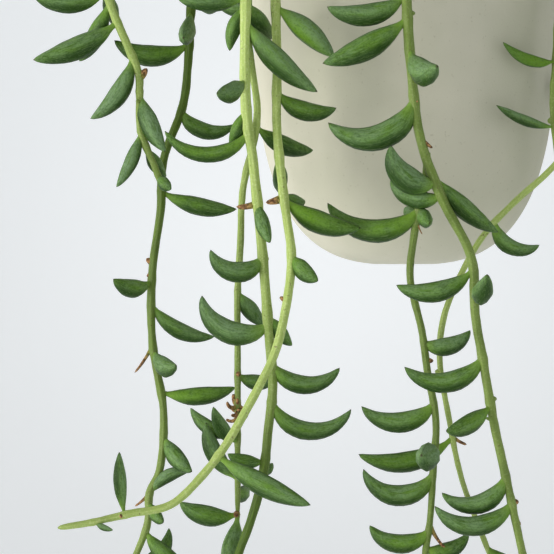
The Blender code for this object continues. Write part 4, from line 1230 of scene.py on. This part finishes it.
def stem_growths(key, part):
    """The growths of a stem or its fork: those seen from the front as listed, the others by a seeded rule."""
    if key in GROWTHS:
        return [Growth(*row) for row in GROWTHS[key]]
    draw = random.Random("growths of " + key)
    last = len(part.route) - 1.5
    rule = []
    for number in range(max(1, round(last / 2))):
        at = draw.uniform(2.0, last)
        kind = draw.choice((KNOB, KNOB, SPUR))
        length, thickness = (draw.uniform(*sizes) for sizes in GROWTH_SIZES[kind])
        side, tilt = draw.uniform(0, 360), draw.uniform(*GROWTH_TILTS)
        rule.append(Growth(kind, at, side, length, thickness, tilt))
    return rule


def growth_sprouts(key, part, growths, draw):
    """The growths of a stem as sprouts."""
    last = len(part.route) - 1
    return [
        Sprout(
            route_point(part.route, growth.at), math.radians(growth.side), growth.length * MM,
            math.radians(growth.tilt), math.radians(growth.curl + draw.uniform(-15, 15)),
            growth.thickness * MM / LEAF_DEPTH, draw.uniform(-0.15, 0.15), 0.0, growth.kind,
            draw.random(), 0.0, 0.0, growth.dry, paleness_at(key, growth.at / last),
        )
        for growth in growths
    ]


def guide_mesh(name, stem, found):
    """The stem's lines and the roots of what grows from them, with the values that shape them."""
    draw = random.Random("looks of " + name)
    parts = {stem.name: stem, **({stem.name + "_fork": stem.fork} if stem.fork else {})}
    points, edges, radii, paleness, sprouts = [], [], [], [], []
    for key, part in parts.items():
        last = len(part.route) - 1
        steps = last * GUIDE_FINENESS
        line = [route_point(part.route, last * step / steps) for step in range(steps + 1)]
        edges += [(len(points) + index, len(points) + index + 1) for index in range(len(line) - 1)]
        points += line
        radii += stem_radii(part, len(line), found[part.name])
        sprouts += leaf_sprouts(key, part, found[part.name], draw)
        paleness += [paleness_at(key, step / steps) for step in range(steps + 1)]
        sprouts += growth_sprouts(key, part, stem_growths(key, part), draw)
    mesh = bpy.data.meshes.new(name)
    mesh.from_pydata(points + [sprout.root for sprout in sprouts], edges, [])
    count = len(points)
    add_values(mesh, "leafy", "BOOLEAN", [False] * count + [True] * len(sprouts))
    add_values(mesh, "radius", "FLOAT", radii + [0.0] * len(sprouts))
    add_values(mesh, "paleness", "FLOAT", paleness + [sprout.paleness for sprout in sprouts])
    add_values(mesh, "kind", "INT", [0] * count + [sprout.kind for sprout in sprouts])
    for field in ("side", "chord", "tilt", "turn", "size", "sway", "roll", "tint", "fresh", "waxy", "dry"):
        values = [getattr(sprout, field) for sprout in sprouts]
        add_values(mesh, field, "FLOAT", [0.0] * count + values)
    return mesh


def bent_offset(wiring, depth, thickness):
    """How far each point of a straight leaf skin moves to lie on its own hooked leaf."""
    names = ("side", "chord", "tilt", "turn", "size", "sway", "roll")
    side, chord, tilt, turn, size, sway, roll = (wiring.named(name) for name in names)
    skin = wiring.named("skin", "FLOAT_VECTOR")
    share, across, up = skin.split()
    half = turn * 0.5
    bow = chord * 0.5 / wiring.math("SINE", half)
    start = tilt - half
    heading = turn * share + start
    reach = wiring.math("SINE", heading) - wiring.math("SINE", start)
    climb = wiring.math("COSINE", start) - wiring.math("COSINE", heading)
    middle = wiring.join(bow * reach, sway * chord * share**2.0, bow * climb)
    girth = size * 0.5
    section = wiring.join(0.0, across * (thickness * girth), up * (depth * girth))
    tipped = section.turned("X_AXIS", roll * share).turned("Y_AXIS", heading * -1.0)
    return (tipped + middle).turned("Z_AXIS", side) - skin


def leafy_stem_tree(values):
    """Geometry tree that turns guide lines into stems and bends a leaf skin to each leaf's own hook."""
    wiring, given = shape_tree("leafy_stem", values)
    leafy = wiring.named("leafy", "BOOLEAN")
    parted = wiring.node("GeometryNodeSeparateGeometry", {0: given["Geometry"], 1: leafy}, domain="POINT")
    roots, guides = (Value(wiring, parted.outputs[name]) for name in ("Selection", "Inverted"))
    place = wiring.get("GeometryNodeInputPosition")
    length = wiring.get("GeometryNodeSplineParameter", None, "Length")
    line = wiring.store(wiring.get("GeometryNodeMeshToCurve", {0: guides}), "along", length)
    circle = wiring.get(
        "GeometryNodeCurvePrimitiveCircle", {"Resolution": given["Stem Sides"], "Radius": 1.0}
    )
    ring = wiring.store(circle, "round", place, "FLOAT_VECTOR")
    tube = wiring.get(
        "GeometryNodeCurveToMesh",
        {"Curve": line, "Profile Curve": ring, "Scale": wiring.named("radius"), "Fill Caps": True},
    )
    ring_x, ring_y, _ = wiring.named("round", "FLOAT_VECTOR").split()
    stem_skin = wiring.join(wiring.named("along") * STEM_SKIN_PER_METRE, ring_x, ring_y)
    stem = wiring.store(tube, "skin", stem_skin, "FLOAT_VECTOR")
    kind = wiring.named("kind", "INT")
    leaves = wiring.scattered(roots, given["Leaf Skins"], {"Instance Index": kind})
    offset = bent_offset(wiring, given["Leaf Depth"], given["Leaf Thickness"])
    bent = wiring.moved(wiring.real(leaves, stem), offset, leafy)
    lumps = (place.noise(LUMPS_PER_METRE) - 0.5) * given["Unevenness"]
    normal = wiring.get("GeometryNodeInputNormal")
    push = wiring.get("ShaderNodeVectorMath", {0: normal, "Scale": lumps}, operation="SCALE")
    smooth = wiring.get("GeometryNodeSetShadeSmooth", {"Geometry": wiring.moved(bent, push)})
    return wiring.ended(
        smooth,
        (True, given["Stem Finish"]),
        (leafy, given["Leaf Finish"]),
        (wiring.above(kind, SPUR - 0.5), given["Stem Finish"]),
        (wiring.above(wiring.named("dry"), 0.5), given["Dried Finish"]),
    )


def colour(name, description, red, green, blue):
    """A colour to choose."""
    default = seen(red, green, blue)
    return bpy.props.FloatVectorProperty(name=name, description=description, subtype="COLOR", default=default)


def amount(name, description, default, unit="LENGTH"):
    """A length to choose, or a number in another unit."""
    return bpy.props.FloatProperty(name=name, description=description, default=default, unit=unit, min=0.0)


def whole(name, description, default, least=0):
    """A whole number to choose."""
    return bpy.props.IntProperty(name=name, description=description, default=default, min=least)


class PotLooks(bpy.types.PropertyGroup):
    """Sizes and colours of the pot."""

    sides: whole("Sides", "Steps round the pot", 128, 16)
    glaze: colour("Glaze", "Main colour of the pot", 203, 200, 181)
    glaze_cloud: colour("Glaze clouds", "Colour of the faint clouding", 197, 195, 175)
    glaze_speck: colour("Specks", "Colour of the fine specks", 165, 160, 135)


class SoilLooks(bpy.types.PropertyGroup):
    """Sizes and colours of the potting soil."""

    grain_size: amount("Crumb size", "Radius of a usual crumb", 0.0011)
    roughness: amount("Unevenness", "Height of the lumps in the surface", 0.0022)
    seed: whole("Seed", "Seed of the scattered crumbs", 7)
    compost: colour("Compost", "Colour of damp compost", 44, 33, 26)
    compost_light: colour("Dry compost", "Colour of dry compost", 84, 66, 51)
    fibre: colour("Fibres", "Colour of bark fibres", 122, 94, 66)
    grit: colour("Grit", "Colour of the pale grit", 222, 217, 205)
    grit_pore: colour("Grit pores", "Colour in the grit's pores", 165, 156, 140)


class HangerLooks(bpy.types.PropertyGroup):
    """Sizes and colours of the wires and the hook."""

    wire_radius: amount("Wire radius", "Radius of a hanger wire", WIRE_RADIUS)
    hook_radius: amount("Hook wire radius", "Radius of the hook's wire", HOOK_WIRE_RADIUS)
    steel: colour("Steel", "Colour of clean steel", 205, 205, 202)
    steel_dull: colour("Dull steel", "Colour of dull steel", 158, 157, 152)


class PlantLooks(bpy.types.PropertyGroup):
    """Sizes and colours of the leafy stems."""

    leaf_depth: amount("Leaf depth", "Depth of a long leaf at its middle", LEAF_DEPTH)
    leaf_thickness: amount("Leaf thickness", "Width of a long leaf across its ridge", LEAF_THICKNESS)
    unevenness: amount("Unevenness", "Height of the soft lumps in leaves and stems", 0.0005)
    stem_sides: whole("Stem sides", "Sides of a stem", 12, 6)
    leaf: colour("Leaf", "Main green", 62, 94, 32)
    leaf_light: colour("Leaf streaks", "Green of the light streaks", 102, 138, 64)
    leaf_fresh: colour("Fresh green", "Yellow-green patches", 108, 150, 42)
    # Dark green of the painted shade below and towards the tip, and of the real grain.
    leaf_shade_and_grain: colour("Belly", "Dark green below and towards the tip, and in the grain", 28, 58, 6)
    # Grey-green of the waxy bloom, which also serves as painted sheen on the leaves' upper sides.
    leaf_bloom_and_sheen: colour("Bloom", "Grey-green waxy bloom", 128, 156, 118)
    leaf_hair: colour("Hairlines", "Pale green of the finest lines along a leaf", 128, 154, 96)
    # The dark line is painted edge shade, not a colour of the leaf.
    leaf_edge_shade: colour("Ridge line", "Thin dark line along the ridge and keel", 44, 70, 32)
    leaf_tip: colour("Tip", "Colour of the leaf's very tip", 62, 54, 40)
    leaf_neck: colour("Neck", "Yellow-green of a leaf where it grows from its stem", 132, 166, 66)
    stem_pale: colour("Pale stem", "Colour of a young stem", 201, 221, 130)
    stem_scuff: colour("Stem scuffs", "Pale dots on young stems", 222, 232, 176)
    stem_fresh: colour("Fresh stem", "Yellow-green of stems and of dry growths at their root", 118, 154, 30)
    # Dark base colour of stems, for old stems and for stems painted darker as painted shade.
    stem_old_and_shaded: colour("Old stem", "Colour of an old stem", 70, 94, 20)
    stem_dark: colour("Stem furrows", "Colour between the ridges of an old stem", 48, 68, 12)
    dried: colour("Dried", "Brown of dried stubs and roots", 82, 54, 28)
    dried_pale: colour("Dried, pale", "Light brown of dried stubs", 174, 132, 84)


class StageLooks(bpy.types.PropertyGroup):
    """Backdrop and lights."""

    floor: colour("Backdrop", "Colour of the backdrop", 240, 243, 245)
    floor_warm: colour("Backdrop mottle", "Second colour of the backdrop", 239, 241, 243)
    backdrop_glow: amount("Backdrop glow", "Own light of the backdrop", 0.255, "NONE")
    sky_strength: amount("Sky strength", "Strength of the even light from all round", 0.425, "NONE")
    key_power: amount("Key power", "Power of the large soft light on the left", 38.5, "POWER")
    top_power: amount("Top power", "Power of the soft light from above and in front", 4.0, "POWER")
    fill_power: amount("Fill power", "Power of the soft light from the lower right", 3.5, "POWER")
    backdrop_power: amount("Backdrop power", "Power of the light on the backdrop behind", 6.0, "POWER")


class SucculentLooks(bpy.types.PropertyGroup):
    """All sizes and colours of the hanging succulent."""

    pot: bpy.props.PointerProperty(type=PotLooks)
    soil: bpy.props.PointerProperty(type=SoilLooks)
    hanger: bpy.props.PointerProperty(type=HangerLooks)
    plant: bpy.props.PointerProperty(type=PlantLooks)
    stage: bpy.props.PointerProperty(type=StageLooks)


def add_area_light(name, place, aim, size, tint, power):
    """A large soft light that faces a point and isn't seen itself."""
    lamp = bpy.data.lights.new(name, "AREA")
    lamp.shape = "DISK"
    lamp.size = size
    lamp.energy = power
    lamp.color = tint
    light = add_object(name, lamp)
    light.location = place
    light.rotation_euler = (Vector(aim) - Vector(place)).to_track_quat("-Z", "Y").to_euler()
    light.visible_camera = False


class SCENE_OT_succulent_stage(bpy.types.Operator):
    """Set the camera, the pale backdrop and the soft lights"""

    bl_idname = "scene.succulent_stage"
    bl_label = "Set the Stage"

    def execute(self, context):
        looks = context.scene.succulent.stage
        camera = add_object("camera", bpy.data.cameras.new("camera"))
        camera.data.lens = CAMERA_LENS
        camera.data.clip_end = 100.0
        camera.location = CAMERA_PLACE
        camera.rotation_euler = (math.radians(90), 0.0, 0.0)
        context.scene.camera = camera
        context.scene.view_settings.view_transform = "Standard"
        self.add_backdrop(looks)
        self.add_lights(context.scene, looks)
        return {"FINISHED"}

    def add_backdrop(self, looks):
        """A wide floor that curves up into a wall all round."""
        arc = [math.radians(angle) for angle in range(0, 91, 6)]
        curve = [
            (FLOOR_RADIUS + WALL_CURVE * math.sin(a), FLOOR_Z + WALL_CURVE * (1.0 - math.cos(a))) for a in arc
        ]
        profile = [(0.0, FLOOR_Z), (FLOOR_RADIUS / 2, FLOOR_Z)] + curve
        profile.append((FLOOR_RADIUS + WALL_CURVE, FLOOR_Z + WALL_HEIGHT))
        backdrop = turned("backdrop", profile, 96)
        dress(backdrop, floor_finish(looks), 180)

    def add_lights(self, scene, looks):
        """An even sky, and the soft lights on the plant and on the backdrop."""
        world = bpy.data.worlds.new("even_sky")
        world.use_nodes = True
        sky = world.node_tree.nodes["Background"]
        sky.inputs["Color"].default_value = SKY_COLOUR
        sky.inputs["Strength"].default_value = looks.sky_strength
        scene.world = world
        for name, (place, aim, size, tint, setting) in LIGHTS.items():
            add_area_light(name, place, aim, size, tint, getattr(looks, setting))


class OBJECT_OT_succulent_pot(bpy.types.Operator):
    """Make the matt ceramic pot with its wire holes"""

    bl_idname = "object.succulent_pot"
    bl_label = "Make the Pot"

    def execute(self, context):
        looks = context.scene.succulent.pot
        profile = [(radius, height + POT_BOTTOM_Z) for radius, height in pot_profile()]
        pot = cut_wire_holes(turned("ceramic_pot", profile, looks.sides))
        dress(pot, pot_finish(looks))
        hand_over(pot, "pot_glaze", "pot")
        return {"FINISHED"}


class OBJECT_OT_succulent_soil(bpy.types.Operator):
    """Make the compost that fills the pot"""

    bl_idname = "object.succulent_soil"
    bl_label = "Make the Soil"

    def execute(self, context):
        looks = context.scene.succulent.soil
        top = POT_HEIGHT - SOIL_DEPTH
        edge = inner_radius(top) - SOIL_GAP
        shares = [step / SOIL_STEPS for step in range(SOIL_STEPS + 1)]
        crown = [(edge * share, top + SOIL_CROWN * (1.0 - share**2)) for share in shares]
        heights = [top * (1.0 - step / 10) + POT_WALL * step / 10 for step in range(1, 11)]
        side = [(inner_radius(height) - SOIL_GAP, height + SOIL_GAP) for height in heights]
        profile = [(r, z + POT_BOTTOM_Z) for r, z in crown + side + [(0.0, POT_WALL + SOIL_GAP)]]
        finish = soil_finish(looks)
        soil = dress(turned("compost_fill", profile, 96), finish, 80)
        crumbs = self.crumbs()
        values = {
            "Crumbs": crumbs,
            "Crumb Size": looks.grain_size,
            "Unevenness": looks.roughness,
            "Rim Radius": edge,
            "Seed": looks.seed,
            "Soil Finish": finish,
            "Grit Finish": grit_finish(looks),
        }
        plain_mesh(add_tree(soil, self.tree(values), values))
        clear(crumbs)
        hand_over(soil, "soil", "soil")
        return {"FINISHED"}

    def crumbs(self):
        """A few rough crumb shapes to scatter."""
        collection = bpy.data.collections.new("crumbs")
        for number in range(CRUMB_KINDS):
            draw = random.Random(f"crumb {number}")
            shape = bmesh.new()
            bmesh.ops.create_icosphere(shape, subdivisions=1 + number % 2, radius=1.0)
            for vertex in shape.verts:
                vertex.co = vertex.co * draw.uniform(0.7, 1.25) * Vector((1.3, 0.9, 0.7))
            name = f"crumb_{number}"
            collection.objects.link(bpy.data.objects.new(name, shape_mesh(name, shape)))
        return collection

    def tree(self, values):
        """Geometry tree that roughens the soil's top and scatters crumbs on it."""
        wiring, given = shape_tree("compost", values)
        seed = given["Seed"]

        def drawn(low, high):
            inputs = {2: low, 3: high, "Seed": seed}
            return wiring.get("FunctionNodeRandomValue", inputs, 1, data_type="FLOAT")

        place = wiring.get("GeometryNodeInputPosition")
        normal = wiring.get("GeometryNodeInputNormal")
        across = wiring.get("ShaderNodeVectorMath", {0: place * (1, 1, 0)}, "Value", operation="LENGTH")
        top = normal.split()[2].rise(0.6, 0.9) * (across / given["Rim Radius"]).rise(0.99, 0.9)
        height = (place.noise(210, 4, 0.6) - 0.55) * given["Unevenness"] * top
        rough = wiring.moved(given["Geometry"], wiring.join(0.0, 0.0, height))
        points = wiring.get(
            "GeometryNodeDistributePointsOnFaces",
            {"Mesh": rough, "Selection": wiring.math("GREATER_THAN", top, 0.6),
             "Density": CRUMBS_PER_SQUARE_METRE, "Seed": seed},
            "Points",
        )
        turns = {1: CRUMB_SPIN, "Seed": seed}
        spin = wiring.get("FunctionNodeRandomValue", turns, data_type="FLOAT_VECTOR")
        grow = drawn(*CRUMB_SIZES)
        scale = grow * grow * given["Crumb Size"]
        placed = {"Rotation": spin, "Scale": wiring.join(scale, scale, scale)}
        crumbs = wiring.scattered(points, given["Crumbs"], placed)
        gritty = wiring.math("GREATER_THAN", drawn(0.0, 1.0), 1.0 - GRIT_SHARE)
        tagged = wiring.store(crumbs, "gritty", gritty, domain="INSTANCE")
        is_grit = wiring.above(wiring.named("gritty"), 0.5)
        finishes = (True, given["Soil Finish"]), (is_grit, given["Grit Finish"])
        return wiring.ended(wiring.real(tagged, rough), *finishes)


class OBJECT_OT_succulent_hanger(bpy.types.Operator):
    """Make the three wires, the collar and the hook"""

    bl_idname = "object.succulent_hanger"
    bl_label = "Make the Hanger"

    def execute(self, context):
        looks = context.scene.succulent.hanger
        steel = steel_finish(looks)
        for number, angle in enumerate(WIRE_ANGLES, 1):
            points = rounded(wire_points(angle), 0.0015)
            wire = wire_mesh(f"steel_wire_{number}", points, looks.wire_radius, 4)
            hand_over(dress(wire, steel), "steel_wire", f"hanger_wire_{number}")
        hook = wire_mesh("steel_hook", rounded(hook_points(), 0.001), looks.hook_radius, 5)
        collar = turned("collar", self.collar_profile(), 64)
        joined = bmesh.new()
        joined.from_mesh(hook.data)
        joined.from_mesh(collar.data)
        joined.to_mesh(hook.data)
        joined.free()
        bpy.data.objects.remove(collar)
        hand_over(dress(hook, steel), "steel_wire", "hook")
        return {"FINISHED"}

    def collar_profile(self):
        """Section of the collar, with round edges and a pressed groove."""
        top = COLLAR_BOTTOM_Z + COLLAR_HEIGHT
        soft = 0.0012
        corner = [(soft * math.sin(a), soft * math.cos(a)) for a in (0.0, 0.4, 0.8, 1.17, math.pi / 2)]
        upper = [(COLLAR_RADIUS - soft + x, top - soft + z) for x, z in corner]
        middle = (top + COLLAR_BOTTOM_Z) / 2
        groove = [(COLLAR_RADIUS - depth, middle + z) for depth, z in
                  ((0.0, 0.0012), (0.0004, 0.0006), (0.0005, 0.0), (0.0004, -0.0006), (0.0, -0.0012))]
        lower = [(COLLAR_RADIUS - soft + x, COLLAR_BOTTOM_Z + soft - z) for x, z in reversed(corner)]
        return [(0.0, top)] + upper + groove + lower + [(0.0, COLLAR_BOTTOM_Z)]


class OBJECT_OT_succulent_stems(bpy.types.Operator):
    """Make every leafy stem, each with its own leaves"""

    bl_idname = "object.succulent_stems"
    bl_label = "Make the Leafy Stems"

    def execute(self, context):
        looks = context.scene.succulent.plant
        skins = add_skins()
        values = {
            "Leaf Skins": skins,
            "Leaf Depth": looks.leaf_depth,
            "Leaf Thickness": looks.leaf_thickness,
            "Stem Sides": looks.stem_sides,
            "Unevenness": looks.unevenness,
            "Stem Finish": stem_finish(looks),
            "Leaf Finish": leaf_finish(looks),
            "Dried Finish": dried_finish(looks),
        }
        tree = leafy_stem_tree(values)
        stems = all_stems()
        bodies = {stem.name: stem_balls(stem) for stem in stems}
        forks = {stem.name: stem_balls(stem.fork) for stem in stems if stem.fork}
        filled = [wire_balls()]
        for stem in stems:
            others = [balls for group in (bodies, forks) for key, balls in group.items() if key != stem.name]
            found, balls = fitted_leaves(stem, np.vstack(filled + others))
            filled.append(balls)
            name = "leafy_" + stem.name
            plant = add_tree(add_object(name, guide_mesh(name, stem, found)), tree, values)
            hand_over(plain_mesh(plant), "leafy_stem", stem.name)
        clear(skins)
        return {"FINISHED"}


OPERATORS = (
    SCENE_OT_succulent_stage,
    OBJECT_OT_succulent_pot,
    OBJECT_OT_succulent_soil,
    OBJECT_OT_succulent_hanger,
    OBJECT_OT_succulent_stems,
)


class VIEW3D_PT_succulent(bpy.types.Panel):
    """Sizes, colours and operators of the hanging succulent"""

    bl_label = "Hanging Succulent"
    bl_space_type = "VIEW_3D"
    bl_region_type = "UI"
    bl_category = "Succulent"

    def draw(self, context):
        looks = context.scene.succulent
        for group in (looks.stage, looks.pot, looks.soil, looks.hanger, looks.plant):
            box = self.layout.box()
            box.label(text=type(group).__name__)
            for name in group.__annotations__:
                box.prop(group, name)
        for operator in OPERATORS:
            self.layout.operator(operator.bl_idname)


CLASSES = (
    PotLooks, SoilLooks, HangerLooks, PlantLooks, StageLooks, SucculentLooks, *OPERATORS, VIEW3D_PT_succulent,
)


def register():
    """Add the classes and the scene's settings."""
    for kind in CLASSES:
        bpy.utils.register_class(kind)
    bpy.types.Scene.succulent = bpy.props.PointerProperty(type=SucculentLooks)


def unregister():
    """Take the settings and the classes away again."""
    del bpy.types.Scene.succulent
    for kind in reversed(CLASSES):
        bpy.utils.unregister_class(kind)


def main():
    """Make the whole scene."""
    register()
    bpy.ops.scene.succulent_stage()
    bpy.ops.object.succulent_pot()
    bpy.ops.object.succulent_soil()
    bpy.ops.object.succulent_hanger()
    bpy.ops.object.succulent_stems()


if __name__ == "__main__":
    main()
